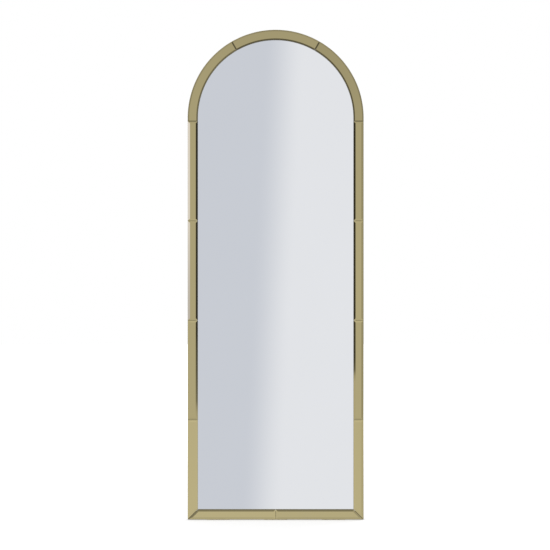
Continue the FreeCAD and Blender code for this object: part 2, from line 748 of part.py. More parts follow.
def make_screw(name, profile, head_top):
    """Turns a screw about Y, with its head at the back, and cuts a cross recess in the head."""
    body = new_body(name)
    outline = new_sketch(body, f"{name}_profile", role="XY_Plane")
    draw_polygon(outline, profile)
    add_revolution(body, f"{name}_turned", outline)
    arm, slot = "sizes.cross_arm", "sizes.cross_slot"
    cross = [(arm, slot), (slot, slot), (slot, arm), (f"-{slot}", arm), (f"-{slot}", slot),
             (f"-{arm}", slot), (f"-{arm}", f"-{slot}"), (f"-{slot}", f"-{slot}"),
             (f"-{slot}", f"-{arm}"), (slot, f"-{arm}"), (slot, f"-{slot}"), (arm, f"-{slot}")]
    recess = new_sketch(body, f"{name}_cross", offset=f"-({head_top})")
    draw_polygon(recess, cross)
    add_pocket(body, f"{name}_recess", recess, "sizes.cross_depth", forwards=True)
    return body


def make_board_screws():
    """Makes the pan-head screws of the backing board."""
    shank, head = "sizes.board_screw_shank / 2", "sizes.board_screw_head / 2"
    height, length = "sizes.board_screw_head_height", "sizes.board_screw_length"
    profile = [("0", height), (f"{head} - {height} / 2", height), (head, f"{height} / 2"),
               (head, "0"), (shank, "0"), (shank, f"sizes.screw_tip - {length}"),
               ("0", f"-{length}")]
    screw = make_screw("board_screw", profile, height)
    keep(copy_to("board_screws", screw, board_screw_spots("places.board_back")), "board_screws")


def make_hanger_screws():
    """Makes the countersunk screws of the straps, flush with the straps' backs."""
    shank, head = "sizes.hanger_screw_shank / 2", "sizes.hanger_screw_head / 2"
    length = "sizes.hanger_screw_length"
    profile = [("0", "0"), (head, "0"), (shank, f"{shank} - {head}"),
               (shank, f"sizes.screw_tip - {length}"), ("0", f"-{length}")]
    screw = make_screw("hanger_screw", profile, "0")
    spots = hanger_screw_spots("places.rail_back + sizes.strap_thickness")
    keep(copy_to("hanger_screws", screw, spots), "hanger_screws")


def draw_strap(sketch):
    """Draws the strap's plate: straight at the ring's axis and rounded at its foot."""
    half = measure("sizes.strap_width / 2")
    foot = measure("sizes.strap_width / 2 - sizes.strap_length")
    circle = Part.Circle(Vector(0, foot, 0), Vector(0, 0, 1), half)
    top, right, left = (sketch.addGeometry(Part.LineSegment(start, end), False)
                        for start, end in ((Vector(-half, 0, 0), Vector(half, 0, 0)),
                                           (Vector(half, 0, 0), Vector(half, foot, 0)),
                                           (Vector(-half, foot, 0), Vector(-half, 0, 0))))
    bow = sketch.addGeometry(Part.ArcOfCircle(circle, math.pi, 2 * math.pi), False)
    tie_points(sketch, top, END, right, START)
    tie_points(sketch, top, START, left, END)
    sketch.addConstraint([
        Sketcher.Constraint("PointOnObject", top, START, ACROSS_AXIS),
        Sketcher.Constraint("PointOnObject", top, END, ACROSS_AXIS),
        Sketcher.Constraint("Vertical", right),
        Sketcher.Constraint("Vertical", left),
        Sketcher.Constraint("Tangent", right, END, bow, END),
        Sketcher.Constraint("Tangent", left, START, bow, START),
        Sketcher.Constraint("PointOnObject", bow, CENTRE, UP_AXIS)])
    bind_constraint(sketch, "sizes.strap_width / 2", "Radius", bow)
    bind_constraint(sketch, "sizes.strap_width / 2 - sizes.strap_length", "DistanceY",
                    ORIGIN, START, bow, CENTRE)


def make_strap(name, side):
    """Makes a hanger strap: a flat plate with two screw holes and an eye rolled round the ring."""
    body = new_body(name)
    plate = new_sketch(body, f"{name}_plate",
                       offset="places.ring_axis_height - sizes.strap_thickness")
    draw_strap(plate)
    add_pad(body, f"{name}_plate_pad", plate, "sizes.strap_thickness")
    bore = "(sizes.ring_wire / 2 + sizes.eye_clearance)"
    eye = new_sketch(body, f"{name}_eye", role="YZ_Plane")
    draw_circle(eye, f"{bore} + sizes.strap_thickness")
    add_pad(body, f"{name}_eye_pad", eye, "sizes.strap_width", both_ways=True)
    hole = new_sketch(body, f"{name}_bore", role="YZ_Plane")
    draw_circle(hole, bore)
    add_pocket(body, f"{name}_bore_pocket", hole, "2 * sizes.strap_width", both_ways=True)
    holes = new_sketch(body, f"{name}_holes", offset="places.ring_axis_height")
    for number in range(STRAP_SCREW_COUNT):
        up = f"-sizes.strap_first_hole - {number} * sizes.strap_hole_pitch"
        draw_circle(holes, "sizes.hanger_screw_shank / 2 + sizes.glue_gap", up=up)
    pocket = add_pocket(body, f"{name}_hole_pockets", holes, "sizes.strap_thickness")
    plate_face = measure("sizes.strap_thickness - places.ring_axis_height")
    add_chamfer(body, f"{name}_countersinks", pocket,
                lambda edge: lies_at(edge, plate_face) and is_full_circle(edge),
                "(sizes.hanger_screw_head - sizes.hanger_screw_shank) / 2")
    bind_base(body, f"{side} * places.hanger_radius", "places.ring_axis_back",
              "places.ring_axis_up")
    keep(body, name)


def is_full_circle(edge):
    return edge.isClosed() and isinstance(edge.Curve, Part.Circle)


def draw_ring(sketch):
    """Draws the centre line of a D-ring: bar on top, two bends, two sides and a bow."""
    half = measure("sizes.ring_half_width")
    side = measure("sizes.ring_side")
    corner = measure("sizes.ring_corner")

    def line(x0, y0, x1, y1):
        return sketch.addGeometry(Part.LineSegment(Vector(x0, y0, 0), Vector(x1, y1, 0)), False)

    def arc(across, up, radius, first, last):
        circle = Part.Circle(Vector(across, up, 0), Vector(0, 0, 1), radius)
        return sketch.addGeometry(
            Part.ArcOfCircle(circle, math.radians(first), math.radians(last)), False)

    bar = line(corner - half, 0, half - corner, 0)
    right_bend = arc(half - corner, -corner, corner, 0, 90)
    right = line(half, -corner, half, -side)
    bow = arc(0, -side, half, 180, 360)
    left = line(-half, -side, -half, -corner)
    left_bend = arc(corner - half, -corner, corner, 90, 180)
    sketch.addConstraint([
        Sketcher.Constraint("Tangent", bar, END, right_bend, END),
        Sketcher.Constraint("Tangent", right_bend, START, right, START),
        Sketcher.Constraint("Tangent", right, END, bow, END),
        Sketcher.Constraint("Tangent", bow, START, left, START),
        Sketcher.Constraint("Tangent", left, END, left_bend, END),
        Sketcher.Constraint("Tangent", left_bend, START, bar, START),
        Sketcher.Constraint("Symmetric", bar, START, bar, END, UP_AXIS),
        Sketcher.Constraint("PointOnObject", bar, START, ACROSS_AXIS),
        Sketcher.Constraint("Vertical", right),
        Sketcher.Constraint("Vertical", left),
        Sketcher.Constraint("Equal", left_bend, right_bend)])
    bind_constraint(sketch, "sizes.ring_corner", "Radius", right_bend)
    bind_constraint(sketch, "sizes.ring_half_width", "Radius", bow)
    bind_constraint(sketch, "-sizes.ring_side", "DistanceY", ORIGIN, START, bow, CENTRE)


def make_ring(name, side):
    """Bends a D-ring from wire; its bar lies on the hinge axis and it hangs down at rest."""
    body = new_body(name)
    path = new_sketch(body, f"{name}_path")
    draw_ring(path)
    section = new_sketch(body, f"{name}_section", role="YZ_Plane")
    draw_circle(section, "sizes.ring_wire / 2")
    document.recompute()
    wire = body.newObject("PartDesign::AdditivePipe", f"{name}_wire")
    wire.Profile = section
    wire.Spine = (path, [f"Edge{number}" for number in range(1, path.GeometryCount + 1)])
    document.recompute()
    bind_base(body, f"{side} * places.hanger_radius", "places.ring_axis_back",
              "places.ring_axis_up")
    keep(body, name)


def make_bumper(name, across, up):
    """Makes a round rubber bumper with a rounded edge at the wall."""
    body = new_body(name)
    sketch = new_sketch(body, f"{name}_circle")
    draw_circle(sketch, "sizes.bumper_diameter / 2")
    pad = add_pad(body, f"{name}_pad", sketch, "sizes.bumper_height", backwards=True)
    wall = measure("sizes.bumper_height")
    rounding = body.newObject("PartDesign::Fillet", f"{name}_rounding")
    rounding.Base = (pad, edge_names(pad.Shape, lambda edge: lies_at(edge, wall)))
    rounding.setExpression("Radius", "sizes.bumper_edge_radius")
    document.recompute()
    bind_base(body, across, "places.rail_back", up)
    keep(body, name)


def make_back():
    """Makes what the back of the mirror carries: straps, rings, their screws and bumpers."""
    for side_name, side in SIDES.items():
        make_strap(f"hanger_strap_{side_name}", side)
        make_ring(f"hanger_ring_{side_name}", side)
        across, up = arch_spot(side, "places.hanger_radius", "sizes.upper_bumper_angle")
        make_bumper(f"wall_bumper_upper_{side_name}", across, up)
        make_bumper(f"wall_bumper_lower_{side_name}", f"{side} * places.hanger_radius",
                    "places.border_foot + sizes.lower_bumper_foot")
    make_hanger_screws()


def make_foot_pads():
    """Makes three rubber pads under the bottom rail and the bottom strips."""
    forward = ("places.border_front + sizes.foot_setback",
               "places.rail_back - sizes.rail_edge_break")
    for place_name, step in FOOT_PAD_STEPS.items():
        middle = f"{step} * (places.half_width - sizes.foot_inset)"
        name = f"foot_pad_{place_name}"
        pad = make_box(name, (f"{middle} - sizes.foot_length / 2",
                              f"{middle} + sizes.foot_length / 2"), forward,
                       ("0", "sizes.foot_thickness"))
        keep(pad, name)


# ---------------------------------------------------------------- checks and files

def check_document():
    """Stops if any object failed or any sub-part has no valid solid."""
    for item in document.Objects:
        if {"Invalid", "Error"} & set(item.State):
            raise RuntimeError(f"{item.Label} failed: {item.State}")
    for name, piece in nodes.items():
        if piece.Shape.isNull() or not piece.Shape.isValid() or not piece.Shape.Solids:
            raise RuntimeError(f"{name} has no valid solid")


def write_parts():
    os.makedirs("parts", exist_ok=True)
    for name, piece in nodes.items():
        piece.Shape.exportStep(f"parts/{name}.step")


sizes = make_sizes()
make_mirror_plate()
make_arch_strips()
make_side_strips()
make_bottom_strips()
make_tape_runs("strip_tape", "sizes.land_tape_inset", "sizes.land_tape_width")
make_tape_runs("mirror_edge_tape", "(places.mirror_inset + sizes.edge_tape_inset)",
               "sizes.edge_tape_width")
make_mirror_tape()
make_setting_blocks()
make_backing_board(make_frame())
make_foam_blocks()
make_board_screws()
make_back()
make_foot_pads()
document.recompute()
check_document()
write_parts()
print(f"{len(nodes)} sub-parts written")
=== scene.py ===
"""Dresses the leaning floor mirror: border glass, mirror plate, frame, back and rubber pieces.

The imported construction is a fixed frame. The glass strips, the mirror plate, the foam blocks, the
D-rings, the wall bumpers and the foot pads are modelled here in finer detail and stand for their
nodes; the other nodes keep their meshes and get their finishes here. Lengths are in metres and
angles in degrees. +Z is up and the mirror looks along -Y.
"""
import functools
import json
import logging
import math
from dataclasses import dataclass
from enum import Enum
from typing import Callable, Iterable, Protocol, Sequence

import bmesh
import bpy
from mathutils import Matrix, Vector

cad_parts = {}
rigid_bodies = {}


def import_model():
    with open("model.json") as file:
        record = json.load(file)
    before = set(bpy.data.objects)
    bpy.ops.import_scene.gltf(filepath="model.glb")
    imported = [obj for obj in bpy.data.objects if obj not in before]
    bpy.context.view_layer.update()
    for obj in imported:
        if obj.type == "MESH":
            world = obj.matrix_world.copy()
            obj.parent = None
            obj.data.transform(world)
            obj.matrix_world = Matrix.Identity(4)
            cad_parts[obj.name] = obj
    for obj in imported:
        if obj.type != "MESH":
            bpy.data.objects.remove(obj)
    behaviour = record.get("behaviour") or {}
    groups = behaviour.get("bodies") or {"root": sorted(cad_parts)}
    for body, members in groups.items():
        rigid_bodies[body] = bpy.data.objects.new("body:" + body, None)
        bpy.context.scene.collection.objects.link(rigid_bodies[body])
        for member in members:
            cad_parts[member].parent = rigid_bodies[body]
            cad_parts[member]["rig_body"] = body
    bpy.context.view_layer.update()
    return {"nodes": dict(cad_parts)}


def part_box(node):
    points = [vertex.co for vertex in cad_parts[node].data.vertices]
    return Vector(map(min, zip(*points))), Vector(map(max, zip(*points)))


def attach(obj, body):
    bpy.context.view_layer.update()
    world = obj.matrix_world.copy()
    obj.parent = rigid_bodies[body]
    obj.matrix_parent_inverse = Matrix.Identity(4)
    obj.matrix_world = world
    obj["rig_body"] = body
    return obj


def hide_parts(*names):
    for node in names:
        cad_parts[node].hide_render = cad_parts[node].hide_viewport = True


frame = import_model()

log = logging.getLogger("leaning_floor_mirror")

MM = 0.001
FORWARD = Vector((0, -1, 0))
UP = Vector((0, 0, 1))
ACROSS = Vector((1, 0, 0))
MIRRORED = Vector((-1, 1, 1))
MERGE_DISTANCE = 1e-6
GLASS_IOR = 1.52

Colour = tuple[float, float, float, float]
Fade = tuple[tuple[float, float], ...]
Socket = bpy.types.NodeSocket
Value = float | Sequence[float] | Socket


class Side(Enum):
    """The two sides of the mirror, as seen from its front."""

    LEFT = "left"
    RIGHT = "right"


def srgb(red: int, green: int, blue: int) -> Colour:
    """Turns a colour as it looks on a screen into the linear colour that a shader takes.

    Args:
        red: Red, from 0 to 255.
        green: Green, from 0 to 255.
        blue: Blue, from 0 to 255.

    Returns:
        The linear colour, opaque.
    """
    shares = (channel / 255 for channel in (red, green, blue))
    return (*(((share + 0.055) / 1.055) ** 2.4 if share > 0.04045 else share / 12.92
              for share in shares), 1.0)


def grey(level: float) -> Colour:
    """Returns an even grey of a linear level."""
    return (level, level, level, 1.0)


def only(kind: type, items: Iterable[object]) -> list:
    """Returns the items of one kind."""
    return [item for item in items if isinstance(item, kind)]


def add_object(name: str, data: bpy.types.ID) -> bpy.types.Object:
    """Adds an object to the scene, at the origin.

    Args:
        name: The object's name.
        data: Its mesh, lamp or camera.

    Returns:
        The object.
    """
    made = bpy.data.objects.new(name, data)
    bpy.context.scene.collection.objects.link(made)
    return made


# ---------------------------------------------------------------- shader nodes

class NodeBench:
    """Adds nodes to one tree in few words."""

    def __init__(self, tree: bpy.types.NodeTree) -> None:
        """Keeps the tree that the nodes go into."""
        self.tree = tree

    def node(self, kind: str, inputs: dict[str | int, Value] | None = None,
             **settings: object) -> bpy.types.Node:
        """Adds a node, sets it up and feeds its inputs.

        Args:
            kind: The node's type, without its first word.
            inputs: What goes into each input: a number, a colour, a vector or another socket.
            **settings: The node's own settings.

        Returns:
            The new node.
        """
        made = self.tree.nodes.new(f"ShaderNode{kind}")
        for name, setting in settings.items():
            setattr(made, name, setting)
        for name, value in (inputs or {}).items():
            if isinstance(value, bpy.types.NodeSocket):
                self.tree.links.new(value, made.inputs[name])
            else:
                made.inputs[name].default_value = value
        return made

    def maths(self, operation: str, *values: Value) -> Socket:
        """Returns the result of one sum on numbers."""
        return self.node("Math", dict(enumerate(values)), operation=operation).outputs[0]

    def product(self, *factors: Value) -> Socket:
        """Returns the product of a few numbers."""
        return functools.reduce(functools.partial(self.maths, "MULTIPLY"), factors)

    def scaled(self, vector: Value, factor: Value) -> Socket:
        """Returns a colour or vector times a number."""
        made = self.node("VectorMath", {0: vector, "Scale": factor}, operation="SCALE")
        return made.outputs[0]

    def times(self, vector: Value, factors: Value) -> Socket:
        """Returns a colour or vector whose parts are each multiplied by a factor."""
        made = self.node("VectorMath", {0: vector, 1: factors}, operation="MULTIPLY")
        return made.outputs[0]

    def parts(self, vector: Value) -> Sequence[Socket]:
        """Returns the X, Y and Z of a vector."""
        return self.node("SeparateXYZ", {0: vector}).outputs[:]

    def mixed(self, share: Value, first: Value, second: Value) -> Socket:
        """Returns a colour between two colours."""
        made = self.node("Mix", {"Factor": share, 6: first, 7: second}, data_type="RGBA")
        return made.outputs[2]

    def stepped(self, value: Value, low: Value, high: Value, start: float = 0.0,
                end: float = 1.0) -> Socket:
        """Returns a smooth step of a number.

        Args:
            value: The number that the step follows.
            low: Where the step starts.
            high: Where the step ends.
            start: The result up to low.
            end: The result from high on.

        Returns:
            The step's socket.
        """
        made = self.node("MapRange", {"Value": value, "From Min": low, "From Max": high,
                                      "To Min": start, "To Max": end},
                         interpolation_type="SMOOTHSTEP")
        return made.outputs["Result"]

    def noise(self, place: Value, scale: Value, detail: float, roughness: float) -> Socket:
        """Returns a cloudy number about a half."""
        made = self.node("TexNoise", {"Vector": place, "Scale": scale, "Detail": detail,
                                      "Roughness": roughness})
        return made.outputs["Fac"]

    def bump(self, height: Value, distance: float) -> Socket:
        """Returns the normal of a surface with a relief of a height in metres."""
        return self.node("Bump", {"Height": height, "Distance": distance}).outputs["Normal"]

    def ramp(self, value: Value, stops: Iterable[tuple[float, Colour]]) -> Socket:
        """Returns a colour that changes evenly from stop to stop.

        Args:
            value: Where on the ramp, from 0 to 1.
            stops: The place and colour of each stop, lowest first.

        Returns:
            The colour's socket.
        """
        made = self.node("ValToRGB", {"Fac": value})
        elements = made.color_ramp.elements
        for index, (place, colour) in enumerate(stops):
            stop = elements[index] if index < len(elements) else elements.new(place)
            stop.position = place
            stop.color = colour
        return made.outputs["Color"]


class SharedEffects:
    """The surface effects that several finishes use, each a node group that is built once."""

    def __init__(self) -> None:
        """Builds the groups."""
        self.drift = self._build_drift()
        self.grain = self._build_grain()
        self.dust = self._build_dust()
        self.wear = self._build_wear()

    @staticmethod
    def _start(name: str, result: tuple[str, str],
               **inputs: str) -> tuple[NodeBench, list[Socket], Socket]:
        """Starts a group, whose first input is the place on the piece.

        Args:
            name: The group's name.
            result: The name and the kind of what it puts out.
            **inputs: The kind of each further input.

        Returns:
            The group's bench, what comes in, and where its result goes.
        """
        group = bpy.data.node_groups.new(name, "ShaderNodeTree")
        for label, kind in {"Position": "Vector", **inputs}.items():
            group.interface.new_socket(label, in_out="INPUT", socket_type=f"NodeSocket{kind}")
        label, kind = result
        group.interface.new_socket(label, in_out="OUTPUT", socket_type=f"NodeSocket{kind}")
        given = group.nodes.new("NodeGroupInput").outputs[:len(inputs) + 1]
        return NodeBench(group), given, group.nodes.new("NodeGroupOutput").inputs[0]

    def _build_drift(self) -> bpy.types.NodeTree:
        """Builds the slow drift of a colour over a surface.

        Returns:
            The group.
        """
        bench, (place, colour, scale, amount), result = self._start(
            "Tone Drift", ("Color", "Color"), Color="Color", Scale="Float", Amount="Float")
        cloud = bench.noise(place, scale, detail=5.0, roughness=0.6)
        centred = bench.maths("MULTIPLY_ADD", cloud, 2.0, -1.0)
        factor = bench.maths("MULTIPLY_ADD", centred, amount, 1.0)
        bench.tree.links.new(bench.scaled(colour, factor), result)
        return bench.tree

    def _build_grain(self) -> bpy.types.NodeTree:
        """Builds a fine grain: coarse and fine clouds that add up to a relief.

        Returns:
            The group.
        """
        bench, (place, scale), result = self._start("Fine Grain", ("Height", "Float"),
                                                    Scale="Float")
        fineness, fine_share = 4.3, 0.35
        coarse = bench.noise(place, scale, detail=3.0, roughness=0.55)
        fine = bench.noise(place, bench.product(scale, fineness), detail=2.0, roughness=0.5)
        height = bench.maths("MULTIPLY_ADD", fine, fine_share,
                             bench.product(coarse, 1.0 - fine_share))
        bench.tree.links.new(height, result)
        return bench.tree

    def _build_dust(self) -> bpy.types.NodeTree:
        """Builds the dust that settles on faces that look up and near the floor.

        Returns:
            The group.
        """
        bench, (place, normal, amount), result = self._start(
            "Settled Dust", ("Mask", "Float"), Normal="Vector", Amount="Float")
        floor_reach, floor_share = 0.16, 0.35
        up = bench.stepped(bench.parts(normal)[2], 0.2, 1.0)
        low = bench.stepped(bench.parts(place)[2], 0.0, floor_reach, floor_share, 0.0)
        cloud = bench.noise(place, scale=60.0, detail=6.0, roughness=0.65)
        mask = bench.product(bench.maths("MAXIMUM", up, low), bench.stepped(cloud, 0.35, 0.75),
                             amount)
        bench.tree.links.new(mask, result)
        return bench.tree

    def _build_wear(self) -> bpy.types.NodeTree:
        """Builds the rubbed edges of a piece, broken up by a cloud.

        Returns:
            The group.
        """
        bench, (place, radius, amount), result = self._start(
            "Edge Wear", ("Mask", "Float"), Radius="Float", Amount="Float")
        rounded = bench.node("Bevel", {"Radius": radius}, samples=6).outputs["Normal"]
        flat = bench.node("NewGeometry").outputs["Normal"]
        agreement = bench.node("VectorMath", {0: rounded, 1: flat}, operation="DOT_PRODUCT")
        edge = bench.stepped(agreement.outputs["Value"], 0.97, 0.80)
        cloud = bench.noise(place, scale=140.0, detail=5.0, roughness=0.7)
        mask = bench.product(edge, bench.stepped(cloud, 0.4, 0.62), amount)
        bench.tree.links.new(mask, result)
        return bench.tree


effects = SharedEffects()


class Surface(NodeBench):
    """A material in the making: its shader, and the shared effects placed on it."""

    def __init__(self, name: str, **plain: Value) -> None:
        """Starts a material with one shader.

        Args:
            name: The material's name.
            **plain: What is the same all over the surface, by the shader's inputs.
        """
        self.material = bpy.data.materials.new(name)
        self.material.use_nodes = True
        super().__init__(self.material.node_tree)
        self.shader = self.tree.nodes["Principled BSDF"]
        self.place = self.node("TexCoord").outputs["Object"]
        for key, value in plain.items():
            self.socket(key).default_value = value

    def socket(self, key: str) -> Socket:
        """Returns an input of the shader, such as Base Color for base_color."""
        return self.shader.inputs[key.replace("_", " ").title().replace("Ior", "IOR")]

    def effect(self, group: bpy.types.NodeTree, **inputs: Value) -> Socket:
        """Places a shared effect and returns its result."""
        made = self.node("Group", {"Position": self.place, **inputs}, node_tree=group)
        return made.outputs[0]

    def drift(self, colour: Value, scale: float, amount: float) -> Socket:
        """Returns a colour that drifts a little over the surface."""
        return self.effect(effects.drift, Color=colour, Scale=scale, Amount=amount)

    def grain(self, scale: float, place: Socket | None = None) -> Socket:
        """Returns the height of a fine grain."""
        return self.effect(effects.grain, Position=place or self.place, Scale=scale)

    def dust(self, amount: float) -> Socket:
        """Returns how much dust lies on the surface."""
        normal = self.node("TexCoord").outputs["Normal"]
        return self.effect(effects.dust, Normal=normal, Amount=amount)

    def wear(self, radius: float, amount: float) -> Socket:
        """Returns how far the edges are rubbed."""
        return self.effect(effects.wear, Radius=radius, Amount=amount)

    def stretched(self, *factors: float) -> Socket:
        """Returns the place on the piece with each axis multiplied by a factor."""
        return self.times(self.place, factors)

    def feed(self, **changing: Socket) -> None:
        """Links what changes over the surface to the shader's inputs."""
        for key, socket in changing.items():
            self.tree.links.new(socket, self.socket(key))

    def finish(self, colour: Socket, roughness: Socket, height: Socket,
               relief: float) -> bpy.types.Material:
        """Feeds the shader with what changes over the surface.

        Args:
            colour: The base colour.
            roughness: The roughness.
            height: The relief's height, from 0 to 1.
            relief: How far the relief stands out, in metres.

        Returns:
            The material.
        """
        self.feed(base_color=colour, roughness=roughness, normal=self.bump(height, relief))
        return self.material


class Finish(Protocol):
    """Anything that a material is built from."""

    def build(self) -> bpy.types.Material:
        """Returns the material."""


@functools.cache
def material_of(finish: Finish) -> bpy.types.Material:
    """Builds a finish once, however many pieces wear it."""
    return finish.build()


@dataclass(frozen=True)
class SilveredGlass:
    """Mirror glass seen from its polished side; its tone may fade with the height, which paints a
    reflection.
    """

    name: str
    reflected: Colour
    coat: float = 1.0
    fade: Fade = ()
    haze: float = 0.012
    waviness: float = 0.02 * MM
    smudges: float = 0.02

    def build(self) -> bpy.types.Material:
        """Mixes the finish: silver under a clear coat, slightly wavy, with a trace of dust.

        Returns:
            The material.
        """
        made = Surface(self.name, metallic=1.0, coat_weight=self.coat, coat_roughness=0.0,
                       coat_ior=GLASS_IOR)
        colour = made.drift(self.reflected, scale=3.0, amount=0.012)
        # Painted reflection: the colour is scaled by a ramp that follows the height.
        if self.fade:
            foot, top = self.fade[0][0], self.fade[-1][0]
            share = made.maths("MULTIPLY_ADD", made.parts(made.place)[2], 1 / (top - foot),
                               -foot / (top - foot))
            tone = made.ramp(share, [((stop - foot) / (top - foot), grey(level))
                                     for stop, level in self.fade])
            colour = made.times(colour, tone)
        wiped = made.noise(made.stretched(1.0, 1.0, 0.35), scale=14.0, detail=6.0, roughness=0.7)
        film = made.stepped(wiped, 0.52, 0.78, self.haze, self.haze + self.smudges)
        roughness = made.maths("MULTIPLY_ADD", made.dust(0.25), 0.2, film)
        wave = made.noise(made.place, scale=5.0, detail=1.0, roughness=0.3)
        return made.finish(colour, roughness, wave, self.waviness)


@dataclass(frozen=True)
class GroundGlass:
    """The ground edge of a glass plate."""

    name: str
    colour: Colour
    grit: float = 2600.0
    relief: float = 0.03 * MM

    def build(self) -> bpy.types.Material:
        """Mixes the finish: satin, tinted by the depth of the glass, with grinding marks.

        Returns:
            The material.
        """
        made = Surface(self.name, coat_weight=0.15, coat_roughness=0.25, ior=GLASS_IOR)
        marks = made.grain(self.grit, made.stretched(1.0, 0.25, 1.0))
        return made.finish(made.drift(self.colour, scale=45.0, amount=0.12),
                           made.stepped(marks, 0.3, 0.7, 0.28, 0.42), marks, self.relief)


@dataclass(frozen=True)
class Paint:
    """An opaque coat of paint, rubbed through at the edges."""

    name: str
    colour: Colour
    beneath: Colour
    roughness: tuple[float, float] = (0.42, 0.55)
    peel_scale: float = 420.0
    peel: float = 0.05 * MM
    wear: float = 0.5
    dust: float = 0.16
    dust_colour: Colour = srgb(176, 170, 160)

    def build(self) -> bpy.types.Material:
        """Mixes the finish: orange peel, a drifting tone, rubbed edges and dust.

        Returns:
            The material.
        """
        made = Surface(self.name, specular_ior_level=0.4)
        coated = made.mixed(made.wear(0.9 * MM, self.wear),
                            made.drift(self.colour, scale=12.0, amount=0.18), self.beneath)
        dusty = made.mixed(made.dust(self.dust), coated, self.dust_colour)
        peel = made.grain(self.peel_scale)
        return made.finish(dusty, made.stepped(peel, 0.35, 0.65, *self.roughness), peel,
                           self.peel)


@dataclass(frozen=True)
class Hardboard:
    """Pressed wood fibre, with the weave of the press screen in its rough face."""

    name: str
    colour: Colour
    fibre: Colour
    chip: Colour = srgb(96, 74, 52)
    screen_pitch: float = 2.2 * MM
    relief: float = 0.12 * MM

    def build(self) -> bpy.types.Material:
        """Mixes the finish: fibres, blotches, dark chips and a woven relief.

        Returns:
            The material.
        """
        made = Surface(self.name, specular_ior_level=0.25)
        blotches = made.noise(made.stretched(1.0, 1.0, 0.8), scale=3.5, detail=3.0, roughness=0.5)
        fibres = made.noise(made.stretched(1.0, 1.0, 0.55), scale=560.0, detail=4.0, roughness=0.75)
        chips = made.noise(made.stretched(0.6, 1.0, 1.0), scale=300.0, detail=3.0, roughness=0.6)
        base = made.mixed(made.stepped(blotches, 0.3, 0.7, 0.0, 0.35), self.colour, self.fibre)
        streaked = made.mixed(made.stepped(fibres, 0.35, 0.75, 0.0, 0.6), base, self.fibre)
        flecked = made.mixed(made.stepped(chips, 0.6, 0.76, 0.0, 0.35), streaked, self.chip)
        across, _, up = made.parts(made.place)
        turns = 2 * math.pi / self.screen_pitch
        threads = [made.maths("SINE", made.product(axis, turns)) for axis in (across, up)]
        height = made.maths("MULTIPLY_ADD", made.product(*threads), 0.35, fibres)
        return made.finish(flecked, made.stepped(fibres, 0.3, 0.7, 0.62, 0.8), height,
                           self.relief)


@dataclass(frozen=True)
class PlatedSteel:
    """Steel with a thin bright plating."""

    name: str
    colour: Colour
    roughness: tuple[float, float] = (0.22, 0.4)
    tarnish: Colour = srgb(120, 112, 96)
    rubbed: Colour = grey(0.75)
    scratches: float = 0.012 * MM

    def build(self) -> bpy.types.Material:
        """Mixes the finish: cloudy plating, fine scratches, tarnish and bright edges.

        Returns:
            The material.
        """
        made = Surface(self.name, metallic=1.0)
        clouds = made.noise(made.place, scale=320.0, detail=6.0, roughness=0.6)
        stained = made.mixed(made.stepped(clouds, 0.58, 0.8, 0.0, 0.5),
                             made.drift(self.colour, scale=160.0, amount=0.1), self.tarnish)
        colour = made.mixed(made.wear(0.25 * MM, amount=0.6), stained, self.rubbed)
        return made.finish(colour, made.stepped(clouds, 0.3, 0.75, *self.roughness),
                           made.grain(scale=1800.0), self.scratches)


@dataclass(frozen=True)
class Rubber:
    """Moulded rubber or pressed tape."""

    name: str
    colour: Colour
    roughness: tuple[float, float] = (0.55, 0.75)
    grain_scale: float = 1600.0
    relief: float = 0.03 * MM
    dust: float = 0.5
    rubbed: Colour = srgb(118, 116, 112)
    dust_colour: Colour = srgb(160, 155, 146)

    def build(self) -> bpy.types.Material:
        """Mixes the finish: a matt moulded skin with dust and rubbed edges.

        Returns:
            The material.
        """
        made = Surface(self.name, specular_ior_level=0.35)
        worn = made.mixed(made.wear(0.5 * MM, amount=0.35),
                          made.drift(self.colour, scale=90.0, amount=0.2), self.rubbed)
        dusty = made.mixed(made.dust(self.dust), worn, self.dust_colour)
        skin = made.grain(self.grain_scale)
        return made.finish(dusty, made.stepped(skin, 0.3, 0.7, *self.roughness), skin,
                           self.relief)


@dataclass(frozen=True)
class CellFoam:
    """Open-cell foam: pits of many sizes."""

    name: str
    colour: Colour
    cell: float = 1.1 * MM
    shade: float = 0.35
    relief: float = 0.3 * MM

    def build(self) -> bpy.types.Material:
        """Mixes the finish: cells with painted shade inside and pale at their walls.

        Returns:
            The material.
        """
        made = Surface(self.name, specular_ior_level=0.15, sheen_weight=0.2)
        cells = made.node("TexVoronoi", {"Vector": made.place, "Scale": 1 / self.cell})
        pits = made.stepped(cells.outputs["Distance"], 0.1, 0.6)
        # Painted shade: the colour darkens towards the middle of each cell.
        dark = (*(self.shade * channel for channel in self.colour[:3]), 1.0)
        return made.finish(made.mixed(pits, dark, self.colour),
                           made.stepped(pits, 0.0, 1.0, 0.95, 0.8), pits, self.relief)


@dataclass(frozen=True)
class Beech:
    """Turned beech: pale, with short dark flecks along the grain."""

    name: str
    colour: Colour
    fleck: Colour
    relief: float = 0.04 * MM

    def build(self) -> bpy.types.Material:
        """Mixes the finish: long grain along X with flecks.

        Returns:
            The material.
        """
        made = Surface(self.name, specular_ior_level=0.3)
        grain = made.noise(made.stretched(0.12, 1.0, 1.0), scale=900.0, detail=5.0, roughness=0.6)
        flecks = made.noise(made.stretched(0.2, 1.0, 1.0), scale=2400.0, detail=2.0, roughness=0.5)
        streaked = made.mixed(made.stepped(grain, 0.35, 0.7, 0.0, 0.6), self.colour, self.fleck)
        flecked = made.mixed(made.stepped(flecks, 0.62, 0.7, 0.0, 0.7), streaked, self.fleck)
        return made.finish(flecked, made.stepped(grain, 0.3, 0.7, 0.5, 0.68), grain, self.relief)


# ---------------------------------------------------------------- meshes

